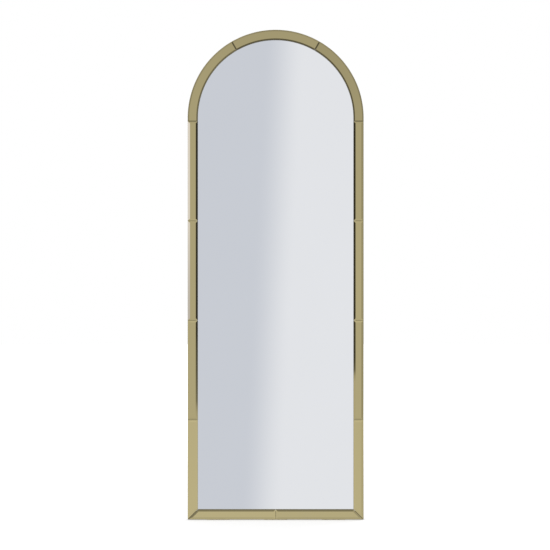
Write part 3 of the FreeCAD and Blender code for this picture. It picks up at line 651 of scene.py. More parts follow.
class Workpiece:
    """A mesh in the making, with the few steps that shape every piece."""

    def __init__(self) -> None:
        """Starts with an empty mesh."""
        self.mesh = bmesh.new()

    def lay_face(self, points: Iterable[Vector]) -> bmesh.types.BMFace:
        """Lays a face through a few points."""
        verts = [self.mesh.verts.new(point) for point in points]
        return bmesh.ops.contextual_create(self.mesh, geom=verts)["faces"][0]

    def lay_disc(self, radius: float, sides: int, place: Matrix = Matrix()) -> bmesh.types.BMFace:
        """Lays a round face.

        Args:
            radius: Its radius.
            sides: How many sides its rim has.
            place: Where it lies. Without it, it is level at the origin.

        Returns:
            The face.
        """
        bmesh.ops.create_circle(self.mesh, cap_ends=True, segments=sides, radius=radius,
                                matrix=place)
        return self.mesh.faces[:][0]

    def extrude(self, faces: Sequence[bmesh.types.BMFace],
                shift: Vector) -> list[bmesh.types.BMFace]:
        """Pulls faces along a shift.

        Args:
            faces: The faces to pull.
            shift: How far, and which way.

        Returns:
            The faces at the far end.
        """
        made = bmesh.ops.extrude_face_region(self.mesh, geom=list(faces))["geom"]
        bmesh.ops.translate(self.mesh, verts=only(bmesh.types.BMVert, made), vec=shift)
        return only(bmesh.types.BMFace, made)

    def sweep(self, face: bmesh.types.BMFace, centre: Vector, axis: Vector, angle: float,
              steps: int) -> bmesh.types.BMFace:
        """Sweeps a face about an axis.

        Args:
            face: The face to sweep.
            centre: A point on the axis.
            axis: The axis' direction.
            angle: How far, anticlockwise about the axis.
            steps: How many steps the sweep takes.

        Returns:
            The face at the far end.
        """
        swept = bmesh.ops.spin(self.mesh, geom=[*face.verts, *face.edges, face], cent=centre,
                               axis=axis, dvec=(0, 0, 0), angle=math.radians(angle),
                               steps=steps, use_merge=False, use_duplicate=False)
        return only(bmesh.types.BMFace, swept["geom_last"])[0]

    def score(self, point: Vector, outward: Vector,
              clear: bool = False) -> list[bmesh.types.BMEdge]:
        """Parts every face along a plane.

        Args:
            point: A point on the plane.
            outward: The plane's direction.
            clear: Whether what lies outside is taken away.

        Returns:
            The edges on the plane.
        """
        made = bmesh.ops.bisect_plane(
            self.mesh, geom=[*self.mesh.verts, *self.mesh.edges, *self.mesh.faces],
            dist=MERGE_DISTANCE, plane_co=point, plane_no=outward, clear_outer=clear)
        return only(bmesh.types.BMEdge, made["geom_cut"])

    def cut(self, point: Vector, outward: Vector) -> None:
        """Takes away what lies outside a plane and closes the cut."""
        rim = self.score(point, outward, clear=True)
        bmesh.ops.holes_fill(self.mesh, edges=rim, sides=0)

    def ease(self, radius: float, sharper_than: float, segments: int) -> None:
        """Rounds every edge that turns by more than an angle.

        Args:
            radius: How far from the edge the rounding starts.
            sharper_than: The angle.
            segments: How many steps the rounding has.
        """
        edges = [edge for edge in self.mesh.edges
                 if edge.is_manifold and edge.calc_face_angle() > math.radians(sharper_than)]
        bmesh.ops.bevel(self.mesh, geom=edges, offset=radius, segments=segments, profile=0.5,
                        affect="EDGES", clamp_overlap=True, material=-1)

    def mirror_across(self) -> None:
        """Turns the piece into its mirror image on the other side."""
        bmesh.ops.scale(self.mesh, verts=self.mesh.verts, vec=MIRRORED)

    def finish(self, name: str, materials: Sequence[bpy.types.Material],
               crease: float = 8.0) -> bpy.types.Object:
        """Turns the mesh into a named object.

        Args:
            name: The object's name.
            materials: The object's materials, in the order of the faces' numbers.
            crease: The angle from which an edge shows as an edge.

        Returns:
            The object, at the origin.
        """
        bmesh.ops.remove_doubles(self.mesh, verts=self.mesh.verts, dist=MERGE_DISTANCE)
        bmesh.ops.recalc_face_normals(self.mesh, faces=self.mesh.faces)
        for face in self.mesh.faces:
            face.smooth = True
        for edge in self.mesh.edges:
            edge.smooth = edge.is_manifold and edge.calc_face_angle() < math.radians(crease)
        data = bpy.data.meshes.new(name)
        self.mesh.to_mesh(data)
        self.mesh.free()
        for material in materials:
            data.materials.append(material)
        return add_object(name, data)


def place_piece(piece: bpy.types.Object, node: str) -> bpy.types.Object:
    """Puts a piece on the body of the node that it stands for.

    Args:
        piece: The finished piece.
        node: The node that the piece stands for.

    Returns:
        The piece.
    """
    body = frame["nodes"][node]["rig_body"]
    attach(piece, body)
    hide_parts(node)
    log.info("%s stands for %s on %s: %d faces", piece.name, node, body,
             len(piece.data.polygons))
    return piece


def solid_boxes(node: str) -> list[tuple[Vector, Vector]]:
    """Finds the separate solids of a node.

    Args:
        node: The node's name.

    Returns:
        The lowest and highest corner of each solid, from the floor up and left to right.
    """
    mesh = bmesh.new()
    mesh.from_mesh(frame["nodes"][node].data)
    bmesh.ops.remove_doubles(mesh, verts=mesh.verts, dist=MERGE_DISTANCE)
    waiting = set(mesh.verts)
    boxes = []
    while waiting:
        group, front = set(), [waiting.pop()]
        while front:
            vert = front.pop()
            group.add(vert)
            near = {edge.other_vert(vert) for edge in vert.link_edges} & waiting
            waiting -= near
            front.extend(near)
        columns = list(zip(*(vert.co for vert in group)))
        boxes.append((Vector(map(min, columns)), Vector(map(max, columns))))
    mesh.free()
    return sorted(boxes, key=lambda box: (round(box[0].z, 3), box[0].x))


# ---------------------------------------------------------------- glass

class GlassFace(Enum):
    """The faces of a glass plate, by the number of their material."""

    FRONT = 0
    GROUND = 1
    BACK = 2
    OUTER_BEVEL = 3
    INNER_BEVEL = 4
    END_BEVEL = 5
    MITRE_BEVEL = 6


class BorderLayout:
    """Where the border lies, read from the frame."""

    def __init__(self) -> None:
        """Reads the border's sizes from its nodes."""
        low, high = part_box("side_strip_right_2")
        self.half_width = high.x
        self.width = high.x - low.x
        self.back = high.y
        self.thickness = high.y - low.y
        self.arch_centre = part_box("arch_strip_crown")[1].z - self.half_width

    @property
    def front(self) -> float:
        """The plane of the border's front."""
        return self.back - self.thickness


@dataclass(frozen=True)
class Bevel:
    """A ground bevel: how far it reaches in from the edge, and how far it drops."""

    width: float
    drop: float

    @property
    def slope(self) -> float:
        """The bevel's slope."""
        return math.atan2(self.drop, self.width)


@dataclass
class GlassStrip:
    """One bevelled strip of the border, and the steps that shape it on the right side."""

    layout: BorderLayout
    outer: Bevel = Bevel(8.0 * MM, 2.5 * MM)
    inner: Bevel = Bevel(7.0 * MM, 2.2 * MM)
    end: Bevel = Bevel(7.0 * MM, 2.2 * MM)
    arch_foot: Bevel = Bevel(1.2 * MM, 0.4 * MM)
    lean: float = 0.45 * MM
    arris: float = 0.25 * MM
    joint_squeeze: float = 0.2 * MM
    spare: float = 10 * MM
    back_limit: float = 0.9
    ground_limit: float = -0.8
    front_limit: float = -0.996
    bevel_share: float = 0.8
    mitre_share: float = 0.4

    def section(self) -> list[tuple[float, float]]:
        """Draws the strip's cross-section.

        Returns:
            The inset from the outer edge and the height of each corner.
        """
        width, top = self.layout.width, self.layout.thickness
        outer_top = top - self.lean
        return [(0.0, 0.0), (0.0, outer_top - self.outer.drop), (self.outer.width, outer_top),
                (width - self.inner.width, top), (width, top - self.inner.drop), (width, 0.0)]

    def cut_end(self, work: Workpiece, point: Vector, outward: Vector, away: Vector,
                bevel: Bevel) -> None:
        """Cuts one end of a strip and grinds its bevel, which follows the lean of the front.

        Args:
            work: The strip.
            point: Where the end meets the border's outer edge.
            outward: The way out of the strip, level with its front.
            away: The way from the opening to the outer edge at this end.
            bevel: The bevel's size.
        """
        work.cut(point, outward)
        inset = -away * self.outer.width
        start = point + inset - outward * (inset.dot(outward) + bevel.width)
        start.y = self.layout.front + self.lean
        flat = self.layout.width - self.outer.width - self.inner.width
        face = (FORWARD + away * (self.lean / flat)).normalized()
        work.cut(start, outward * math.sin(bevel.slope) + face * math.cos(bevel.slope))

    def sort_faces(self, work: Workpiece, away: Callable[[Vector], Vector]) -> Workpiece:
        """Eases the strip's edges and numbers its faces by their kind.

        Args:
            work: The strip.
            away: Tells the way from the opening to the outer edge at a point.

        Returns:
            The strip.
        """
        work.ease(self.arris, sharper_than=40.0, segments=1)
        bmesh.ops.recalc_face_normals(work.mesh, faces=work.mesh.faces)
        for face in work.mesh.faces:
            normal = face.normal
            kind = GlassFace.END_BEVEL
            if normal.y > self.back_limit:
                kind = GlassFace.BACK
            elif normal.y > self.ground_limit:
                kind = GlassFace.GROUND
            elif normal.y < self.front_limit:
                kind = GlassFace.FRONT
            else:
                tilt = Vector((normal.x, 0, normal.z)).normalized()
                share = tilt.dot(away(face.calc_center_median()))
                if abs(share) > self.bevel_share:
                    kind = GlassFace.OUTER_BEVEL if share > 0 else GlassFace.INNER_BEVEL
                elif abs(share) > self.mitre_share:
                    kind = GlassFace.MITRE_BEVEL
            face.material_index = kind.value
        return work

    def straight(self, start: Vector, end: Vector, away: Vector,
                 mitred: tuple[bool, bool]) -> Workpiece:
        """Shapes a straight strip.

        Args:
            start: Where it starts, at the back of the border's outer edge.
            end: Where it ends there.
            away: The way from the opening to the outer edge.
            mitred: Whether its start is mitred, and its end.

        Returns:
            The strip in the making.
        """
        along = (end - start).normalized()
        work = Workpiece()
        face = work.lay_face(start - along * self.spare - away * inset + FORWARD * height
                             for inset, height in self.section())
        work.extrude([face], end - start + along * self.spare * 2)
        for point, way, is_mitred in zip((start, end), (-along, along), mitred):
            reach = 0.0 if is_mitred else self.joint_squeeze
            outward = (way - away).normalized() if is_mitred else way
            self.cut_end(work, point + way * reach, outward, away, self.end)
        return self.sort_faces(work, lambda point: away)

    def upright(self, low: Vector, high: Vector, mitred: bool) -> Workpiece:
        """Shapes a strip of the side between two corners of its box, mitred at its foot or not."""
        return self.straight(Vector((high.x, high.y, low.z)), high, ACROSS, (mitred, False))

    def level(self, low: Vector, high: Vector) -> Workpiece:
        """Shapes a strip of the foot between two corners of its box, mitred at its far end."""
        start = Vector((low.x, high.y, low.z))
        return self.straight(start, start + ACROSS * (high.x - low.x), -UP, (False, True))

    def curved(self, first: float, last: float, foot: float | None) -> Workpiece:
        """Shapes a strip of the arch.

        Args:
            first: The angle of its right end, from the arch's springing line.
            last: The angle of its left end.
            foot: The height of its straight foot, or None where it has none.

        Returns:
            The strip in the making.
        """
        lay = self.layout
        centre = UP * lay.arch_centre
        margin = math.degrees(self.spare / lay.half_width)
        work = Workpiece()
        start = centre.z if foot is None else foot - self.spare
        face = work.lay_face(Vector((lay.half_width - inset, lay.back - height, start))
                             for inset, height in self.section())
        if foot is None:
            turn = Matrix.Rotation(math.radians(first - margin), 3, FORWARD)
            bmesh.ops.rotate(work.mesh, verts=work.mesh.verts, cent=centre, matrix=turn)
            arc = last - first + 2 * margin
        else:
            face = work.extrude([face], UP * (centre.z - start))[0]
            arc = last + margin
        work.sweep(face, centre, FORWARD, arc, round(arc))
        if foot is None:
            self.cut_arch(work, first, -1)
        else:
            self.cut_end(work, Vector((lay.half_width, 0, foot)), -UP, ACROSS, self.arch_foot)
        self.cut_arch(work, last, 1)
        return self.sort_faces(work, self.away_from_centre)

    def cut_arch(self, work: Workpiece, angle: float, way: int) -> None:
        """Cuts an end of a curved strip.

        Args:
            work: The strip.
            angle: The end's angle, from the arch's springing line.
            way: 1 where the strip ends as the angle grows, and -1 where it starts.
        """
        radians = math.radians(angle)
        away = Vector((math.cos(radians), 0, math.sin(radians)))
        along = Vector((-math.sin(radians), 0, math.cos(radians)))
        point = UP * self.layout.arch_centre + away * self.layout.half_width
        self.cut_end(work, point, along * way, away, self.end)

    def away_from_centre(self, point: Vector) -> Vector:
        """Returns the way from the arch's centre to a point, or across beside the feet."""
        reach = Vector((point.x, 0, max(point.z - self.layout.arch_centre, 0.0)))
        return reach.normalized()


@dataclass(frozen=True)
class StripPaintedLight:
    """Painted light and shade on each part of one strip, as factors on plain tinted glass.

    The front's factor paints the strip lighter or darker, and the bevels' factors paint their
    reflections. The inner bevel's painted reflection may fade with the height, and a pale edge is
    a painted highlight: an outer bevel with less tint.
    """

    front: float
    outer_bevel: float = 1.0
    inner_bevel: float = 1.0
    end_bevel: float = 1.0
    painted_inner_fade: Fade = ()
    mitre_bevel: float = 1.0
    painted_highlight_edge: bool = False


# Painted dark reflection on the inner bevels of the upper side strips. In the table below, the
# fronts' factors paint light and shade, the bevels' factors and fades paint reflections, and pale
# edges and outer factors over 1 are painted highlights.
PAINTED_DARK_REFLECTION = 0.062
STRIP_PAINTED_LIGHT = {
    "arch_strip_left": StripPaintedLight(0.94, 0.65, 0.38, 0.25),
    "arch_strip_crown": StripPaintedLight(0.94, 0.62, 0.24, 0.25),
    "arch_strip_right": StripPaintedLight(0.85, 0.65, 0.27, 0.25),
    "side_strip_left_4": StripPaintedLight(0.97, inner_bevel=PAINTED_DARK_REFLECTION, painted_highlight_edge=True),
    "side_strip_left_3": StripPaintedLight(0.95, inner_bevel=PAINTED_DARK_REFLECTION, painted_highlight_edge=True),
    "side_strip_left_2": StripPaintedLight(0.94, painted_inner_fade=(
        (0.352, 1.0), (0.375, 0.88), (0.394, 0.68), (0.412, 0.42), (0.437, 0.36), (0.52, 0.22),
        (0.604, 0.14), (0.645, 0.07))),
    "side_strip_left_1": StripPaintedLight(1.08),
    "side_strip_right_4": StripPaintedLight(0.95, inner_bevel=PAINTED_DARK_REFLECTION),
    "side_strip_right_3": StripPaintedLight(1.01, inner_bevel=PAINTED_DARK_REFLECTION),
    "side_strip_right_2": StripPaintedLight(0.96, painted_inner_fade=(
        (0.48, 1.0), (0.5, 0.8), (0.52, 0.3), (0.541, 0.18), (0.565, 0.1))),
    "side_strip_right_1": StripPaintedLight(1.05, outer_bevel=1.3),
    "bottom_strip_left": StripPaintedLight(1.06, inner_bevel=0.41, mitre_bevel=0.5),
    "bottom_strip_right": StripPaintedLight(1.0, inner_bevel=0.41, mitre_bevel=0.85),
}


@dataclass
class GlassBorder:
    """The border: three curved strips, four on each side and two at the foot."""

    tint: Colour = (0.62, 0.536, 0.283, 1.0)
    # The pale tint paints a highlight on some outer bevels; the bevel coat is the thinner clear
    # coat over the painted dark bevels.
    painted_highlight_tint: Colour = (0.72, 0.655, 0.55, 1.0)
    bevel_coat: float = 0.25
    side_count: int = 4
    arch_outer: Bevel = Bevel(5.2 * MM, 1.3 * MM)
    arch_inner: Bevel = Bevel(5.0 * MM, 1.2 * MM)
    arch_end: Bevel = Bevel(2.2 * MM, 0.7 * MM)

    def build(self) -> list[bpy.types.Object]:
        """Builds every strip of the border.

        Returns:
            The strips.
        """
        layout = BorderLayout()
        straight = GlassStrip(layout)
        curved = GlassStrip(layout, self.arch_outer, self.arch_inner, self.arch_end)
        reach = math.degrees(math.asin(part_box("arch_strip_crown")[1].x / layout.half_width))
        crown = curved.curved(90 - reach, 90 + reach, None)
        pieces = [self.finish("arch_strip_crown", crown, None)]
        low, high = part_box("arch_strip_right")
        rise = math.degrees(math.asin((high.z - layout.arch_centre) / layout.half_width))
        for side in Side:
            strip = curved.curved(0, rise, low.z)
            pieces.append(self.finish(f"arch_strip_{side.value}", strip, side))
            for number in range(1, self.side_count + 1):
                strip = straight.upright(*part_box(f"side_strip_right_{number}"), number == 1)
                pieces.append(self.finish(f"side_strip_{side.value}_{number}", strip, side))
            strip = straight.level(*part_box("bottom_strip_right"))
            pieces.append(self.finish(f"bottom_strip_{side.value}", strip, side))
        return pieces

    def glass(self, tone: float, coat: float = 1.0, fade: Fade = ()) -> bpy.types.Material:
        """Returns the tinted glass in one tone of painted light and shade."""
        colour = (*(tone * channel for channel in self.tint[:3]), 1.0)
        return material_of(SilveredGlass(f"painted_light_mirror_{tone:.3f}", colour, coat, fade))

    def materials(self, tone: StripPaintedLight) -> list[bpy.types.Material]:
        """Makes the materials of one strip, in the order of GlassFace.

        Args:
            tone: The painted light and shade of the strip's parts.

        Returns:
            The materials.
        """
        ground = material_of(GroundGlass("ground_border_edge", srgb(92, 86, 56)))
        back = material_of(Paint("border_back_paint", srgb(78, 80, 82), srgb(150, 128, 80),
                                 wear=0.3))
        # Each face kind takes the tint scaled by its painted light and shade; the pale edge takes
        # the painted highlight tint instead.
        outer = self.glass(tone.front * tone.outer_bevel)
        if tone.painted_highlight_edge:
            outer = material_of(SilveredGlass("painted_highlight_bevel", self.painted_highlight_tint))
        plain = tone.inner_bevel == 1.0 and not tone.painted_inner_fade
        inner = self.glass(tone.front * tone.inner_bevel, 1.0 if plain else self.bevel_coat,
                           tone.painted_inner_fade)
        return [self.glass(tone.front), ground, back, outer, inner,
                self.glass(tone.front * tone.end_bevel),
                self.glass(tone.front * tone.mitre_bevel)]

    def finish(self, node: str, work: Workpiece, side: Side | None) -> bpy.types.Object:
        """Turns a strip to its side and puts it in place.

        Args:
            node: The node that the strip stands for.
            work: The strip in the making, on the right side.
            side: The strip's side, or None at the crown.

        Returns:
            The strip.
        """
        if side is Side.LEFT:
            work.mirror_across()
        strip = work.finish(f"{node}_glass", self.materials(STRIP_PAINTED_LIGHT[node]))
        return place_piece(strip, node)


@dataclass
class MirrorPlate:
    """The tall silvered plate in the middle."""

    reflected: Colour = (0.905, 0.904, 0.90, 1.0)
    seam: float = 0.8 * MM
    arc_steps: int = 256
    flat_limit: float = 0.9998

    def build(self) -> bpy.types.Object:
        """Builds the plate: a half disc drawn down to its foot and given its thickness.

        Returns:
            The plate.
        """
        low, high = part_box("centre_mirror")
        springing = high.z - high.x
        work = Workpiece()
        mesh = work.mesh
        work.lay_disc(high.x, self.arc_steps, Matrix.Translation((0, low.y, springing))
                      @ Matrix.Rotation(math.radians(90), 4, ACROSS))
        chord = work.score(UP * springing, -UP, clear=True)
        drawn = bmesh.ops.extrude_edge_only(mesh, edges=chord)["geom"]
        bmesh.ops.translate(mesh, verts=only(bmesh.types.BMVert, drawn),
                            vec=UP * (low.z - springing))
        work.extrude(mesh.faces[:], -FORWARD * (high.y - low.y))
        work.ease(self.seam, sharper_than=60.0, segments=1)
        bmesh.ops.recalc_face_normals(mesh, faces=mesh.faces)
        for face in mesh.faces:
            kind = GlassFace.GROUND
            if abs(face.normal.y) > self.flat_limit:
                kind = GlassFace.BACK if face.normal.y > 0 else GlassFace.FRONT
            face.material_index = kind.value
        plate = work.finish("centre_mirror_plate", [
            SilveredGlass("silver_mirror", self.reflected, haze=0.004, smudges=0.008,
                          waviness=0.004 * MM).build(),
            GroundGlass("ground_plate_edge", srgb(116, 138, 128)).build(),
            Paint("plate_back_paint", srgb(96, 102, 108), srgb(150, 150, 146), wear=0.2).build()])
        return place_piece(plate, "centre_mirror")


# ---------------------------------------------------------------- back and rubber pieces

@dataclass
class FoamBlocks:
    """The soft blocks between the mirror plate and the backing board."""

    edge_radius: float = 2.5 * MM
    bulge: float = 1.8 * MM
    cuts: int = 5

    def build(self) -> bpy.types.Object:
        """Builds the blocks as one piece, each pressed a little so that its sides stand out.

        Returns:
            The blocks.
        """
        work = Workpiece()
        boxes = solid_boxes("foam_blocks")
        for low, high in boxes:
            cube = bmesh.ops.create_cube(work.mesh, size=1.0)["verts"]
            bmesh.ops.scale(work.mesh, verts=cube, vec=high - low)
            bmesh.ops.translate(work.mesh, verts=cube, vec=(low + high) / 2)
            edges = {edge for vert in cube for edge in vert.link_edges}
            bmesh.ops.subdivide_edges(work.mesh, edges=list(edges), cuts=self.cuts,
                                      use_grid_fill=True)
        work.ease(self.edge_radius, sharper_than=60.0, segments=3)
        for vert in work.mesh.verts:
            low, high = next(box for box in boxes
                             if box[0].x - MM < vert.co.x < box[1].x + MM
                             and box[0].z - MM < vert.co.z < box[1].z + MM)
            middle, half = (low + high) / 2, (high - low) / 2
            share = (vert.co.y - middle.y) / half.y
            for axis in (0, 2):
                offset = (vert.co[axis] - middle[axis]) / half[axis]
                vert.co[axis] -= self.bulge * offset ** 3 * share ** 2
        blocks = work.finish("foam_spacer_blocks",
                             [CellFoam("charcoal_foam", srgb(92, 92, 94)).build()], crease=50.0)
        place_piece(blocks, "foam_blocks")
        return blocks


@dataclass
class DRing:
    """A D-ring bent from round wire, with its two ends butted in the middle of its bar."""

    wire: float = 3 * MM
    corner: float = 3.5 * MM
    sides: int = 24
    corner_steps: int = 14
    bow_steps: int = 56
    butt_gap: float = 0.12 * MM

    def build(self, side: Side, steel: bpy.types.Material) -> bpy.types.Object:
        """Builds the ring of one side by drawing its wire from one butted end to the other.

        Args:
            side: Which side it hangs on.
            steel: Its material.

        Returns:
            The ring.
        """
        node = f"hanger_ring_{side.value}"
        low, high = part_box(node)
        radius = self.wire / 2
        half = (high.x - low.x) / 2 - radius
        bar = Vector(((low.x + high.x) / 2, (low.y + high.y) / 2, high.z - radius))
        bow = Vector((bar.x, bar.y, low.z + radius + half))
        elbow = bar - UP * self.corner
        inset = ACROSS * (half - self.corner)
        gap = ACROSS * self.butt_gap / 2
        drop = elbow - bow
        work = Workpiece()
        face = work.lay_disc(radius, self.sides, Matrix.Translation(bar + gap)
                             @ Matrix.Rotation(math.radians(90), 4, "Y"))
        for shift, centre, angle, steps in (
                (inset - gap, elbow + inset, 90, self.corner_steps),
                (-drop, bow, 180, self.bow_steps),
                (drop, elbow - inset, 90, self.corner_steps)):
            face = work.extrude([face], shift)[0]
            face = work.sweep(face, centre, -FORWARD, angle, steps)
        work.extrude([face], inset - gap)
        ring = work.finish(f"d_ring_{side.value}", [steel], crease=40.0)
        return place_piece(ring, node)


@dataclass
class WallBumper:
    """A moulded rubber bumper: a tapered body with a rounded rim and a dished end."""

    taper: float = 0.4 * MM
    rim_radius: float = 2 * MM
    dish: float = 0.7 * MM
    land: float = 2.4 * MM
    rim_steps: int = 8
    turns: int = 72

    def build(self, node: str, rubber: bpy.types.Material) -> bpy.types.Object:
        """Builds one bumper by turning half of its profile.

        Args:
            node: The node that it stands for.
            rubber: Its material.

        Returns:
            The bumper.
        """
        low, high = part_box(node)
        centre = Vector(((low.x + high.x) / 2, low.y, (low.z + high.z) / 2))
        radius, height = self.radius(node), high.y - low.y
        rim = radius - self.taper - self.rim_radius
        shoulder = height - self.rim_radius
        angles = (math.pi / 2 * step / self.rim_steps for step in range(1, self.rim_steps + 1))
        profile = [(0.0, 0.0), (radius, 0.0), (radius - self.taper, shoulder),
                   *((rim + self.rim_radius * math.cos(angle),
                      shoulder + self.rim_radius * math.sin(angle)) for angle in angles),
                   (rim - self.land / 2, height), (rim - self.land, height - self.dish),
                   (0.0, height - self.dish)]
        work = Workpiece()
        verts = [work.mesh.verts.new(centre + Vector((across, forward, 0)))
                 for across, forward in profile]
        edges = [work.mesh.edges.new(pair) for pair in zip(verts, verts[1:])]
        bmesh.ops.spin(work.mesh, geom=[*verts, *edges], cent=centre, axis=(0, 1, 0),
                       dvec=(0, 0, 0), angle=2 * math.pi, steps=self.turns, use_merge=True,
                       use_duplicate=False)
        bumper = work.finish(f"{node}_rubber", [rubber], crease=35.0)
        return place_piece(bumper, node)

    @staticmethod
    def radius(node: str) -> float:
        """Returns the bumper's radius from its node's points."""
        middle = sum(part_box(node), Vector()) / 2
        return max(math.hypot(vert.co.x - middle.x, vert.co.z - middle.z)
                   for vert in frame["nodes"][node].data.vertices)


@dataclass
class FootPad:
    """A ribbed rubber pad that the mirror stands on."""

    rib_count: int = 10
    rib_share: float = 0.7
    rib_height: float = 0.7 * MM
    edge_radius: float = 0.15 * MM

    def build(self, node: str, rubber: bpy.types.Material) -> bpy.types.Object:
        """Builds one pad: a plate, whose foot is scored into strips and every other one pulled.

        Args:
            node: The node that it stands for.
            rubber: Its material.

        Returns:
            The pad.
        """
        low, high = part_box(node)
        plate_foot = low.z + self.rib_height
        pitch = (high.x - low.x) / (self.rib_count - 1 + self.rib_share)
        work = Workpiece()
        work.lay_face(Vector((across, depth, plate_foot)) for across, depth in (
            (low.x, low.y), (high.x, low.y), (high.x, high.y), (low.x, high.y)))
        for rib in range(self.rib_count):
            start = low.x + rib * pitch
            for place in (start, start + self.rib_share * pitch):
                work.score(ACROSS * place, ACROSS)
        work.extrude(work.mesh.faces[:], UP * (high.z - plate_foot))
        bottom = [face for face in work.mesh.faces
                  if abs(face.calc_center_median().z - plate_foot) < MERGE_DISTANCE]
        bottom.sort(key=lambda face: face.calc_center_median().x)
        work.extrude(bottom[::2], -UP * self.rib_height)
        work.ease(self.edge_radius, sharper_than=60.0, segments=2)
        pad = work.finish(f"{node}_rubber", [rubber], crease=35.0)
        return place_piece(pad, node)


def dress_nodes() -> None:
    """Gives every node that keeps its mesh its finish."""
    board = Paint("painted_board", srgb(34, 32, 30), srgb(126, 96, 66)).build()
    zinc = PlatedSteel("zinc_plate", srgb(196, 198, 200)).build()
    tape = Rubber("foam_tape", srgb(226, 224, 216), (0.6, 0.8), 2400.0, 0.02 * MM, 0.2).build()
    finishes = {
        "stile_left": board, "stile_right": board, "bottom_rail": board,
        "arch_rail_left": board, "arch_rail_crown": board, "arch_rail_right": board,
        "backing_board": Hardboard("hardboard", srgb(172, 142, 106), srgb(138, 108, 76)).build(),
        "board_screws": zinc, "hanger_screws": zinc,
        "hanger_strap_left": zinc, "hanger_strap_right": zinc,
        "strip_tape": tape, "mirror_edge_tape": tape, "mirror_tape": tape,
        "setting_blocks": Rubber("setting_rubber", srgb(48, 48, 50)).build(),
        "frame_dowels": Beech("beech", srgb(214, 182, 140), srgb(168, 128, 86)).build(),
    }
    for node, material in finishes.items():
        for slot in frame["nodes"][node].material_slots:
            slot.material = material
        log.info("%s has the finish %s", node, material.name)


# ---------------------------------------------------------------- studio

@dataclass(frozen=True)
class Panel:
    """A card, flag or window of the studio, by the directions that it fills."""

    azimuth: tuple[float, float]
    elevation: tuple[float, float]
    colour: Colour
    soft_sides: float
    soft_foot: float
    soft_top: float


@dataclass
class Surroundings:
    """What the mirror reflects, the even light on the rest, and the white behind the mirror.

    The panels and the levels of grey go by degrees. The card goes by how far a direction runs
    across and up for each step to the front.
    """

    card_left: Colour = (0.634, 0.663, 0.723, 1.0)
    card_right: Colour = (0.837, 0.853, 0.888, 1.0)
    card_change: float = -0.0011
    card_slope: float = 0.0507
    card_softness: float = 0.0135
    card_reach: float = 0.070
    card_springing: float = 0.0991
    card_foot: float = -0.168
    card_edge: float = 0.008
    panels: tuple[Panel, ...] = (
        Panel((-47.0, -36.6), (0.4, 34.0), grey(0.96), 0.8, 2.4, 6.0),
        Panel((36.8, 46.0), (-14.0, 20.0), grey(0.46), 0.8, 4.0, 6.0),
        Panel((112.0, 150.0), (-8.0, 52.0), grey(1.7), 4.0, 6.0, 8.0),
        Panel((-158.0, -118.0), (4.0, 46.0), grey(1.5), 4.0, 6.0, 8.0),
        Panel((166.0, 180.0), (-30.0, 40.0), grey(0.22), 5.0, 9.0, 9.0),
    )
    levels: Fade = (
        (-90, 0.62), (-46, 0.6), (-40, 0.61), (-35, 0.67), (-12, 0.7), (-8, 0.7), (-5, 0.675),
        (0, 0.655), (8, 0.62), (12, 0.58), (28, 0.74), (34, 0.75), (37, 0.66), (41, 0.58),
        (60, 0.46), (90, 0.42))
    ambient: Colour = grey(0.72)

    def __post_init__(self) -> None:
        """Makes the world, and the sockets of the direction in which a ray leaves."""
        world = bpy.data.worlds.new("studio")
        world.use_nodes = True
        bpy.context.scene.world = world
        self.bench = NodeBench(world.node_tree)
        self.across, depth, self.up = self.bench.parts(
            self.bench.node("TexCoord").outputs["Generated"])
        self.facing = self.bench.product(depth, -1.0)

    def build(self) -> None:
        """Paints the walls, hangs the panels and the card, and leaves the rest white."""
        bench = self.bench
        azimuth = bench.maths("DEGREES", bench.maths("ARCTAN2", self.across, self.facing))
        elevation = bench.maths("DEGREES", bench.maths("ARCSINE", self.up))
        seen = bench.ramp(bench.maths("MULTIPLY_ADD", elevation, 1 / 180, 0.5),
                          [(angle / 180 + 0.5, grey(value)) for angle, value in self.levels])
        for panel in self.panels:
            (left, right), (foot, top) = panel.azimuth, panel.elevation
            share = bench.product(self.edge(azimuth, left, panel.soft_sides),
                                  self.edge(azimuth, right, panel.soft_sides, falls=True),
                                  self.edge(elevation, foot, panel.soft_foot),
                                  self.edge(elevation, top, panel.soft_top, falls=True))
            seen = bench.mixed(share, seen, panel.colour)
        rays = bench.node("LightPath").outputs
        lit = bench.mixed(rays["Is Glossy Ray"], self.ambient, self.with_card(seen))
        clear = bench.maths("MAXIMUM", rays["Is Camera Ray"], rays["Is Transmission Ray"])
        background = bench.tree.nodes["Background"].inputs["Color"]
        bench.tree.links.new(bench.mixed(clear, lit, grey(1.0)), background)

    def edge(self, value: Socket, place: float, softness: float, falls: bool = False) -> Socket:
        """Returns a soft step at a place, up from 0 to 1 or down again."""
        return self.bench.stepped(value, place - softness, place + softness, float(falls),
                                  float(not falls))

    def with_card(self, seen: Socket) -> Socket:
        """Adds the card behind the camera, which has the outline of the mirror plate.

        Args:
            seen: The surroundings without the card.

        Returns:
            The surroundings with the card: cool grey that turns pale along a slanted line.
        """
        bench = self.bench
        run = bench.maths("DIVIDE", self.across, self.facing)
        rise = bench.maths("DIVIDE", self.up, self.facing)
        slanted = bench.maths("MULTIPLY_ADD", rise, -self.card_slope, run)
        colour = bench.mixed(self.edge(slanted, self.card_change, self.card_softness),
                             self.card_left, self.card_right)
        over = bench.maths("MAXIMUM", bench.maths("SUBTRACT", rise, self.card_springing), 0.0)
        reach = bench.maths("SQRT", bench.maths("ADD", bench.product(run, run),
                                                bench.product(over, over)))
        mask = bench.product(self.edge(reach, self.card_reach, self.card_edge, falls=True),
                             self.edge(rise, self.card_foot, self.card_edge),
                             bench.maths("GREATER_THAN", self.facing, 0.0))
        return bench.mixed(mask, seen, colour)


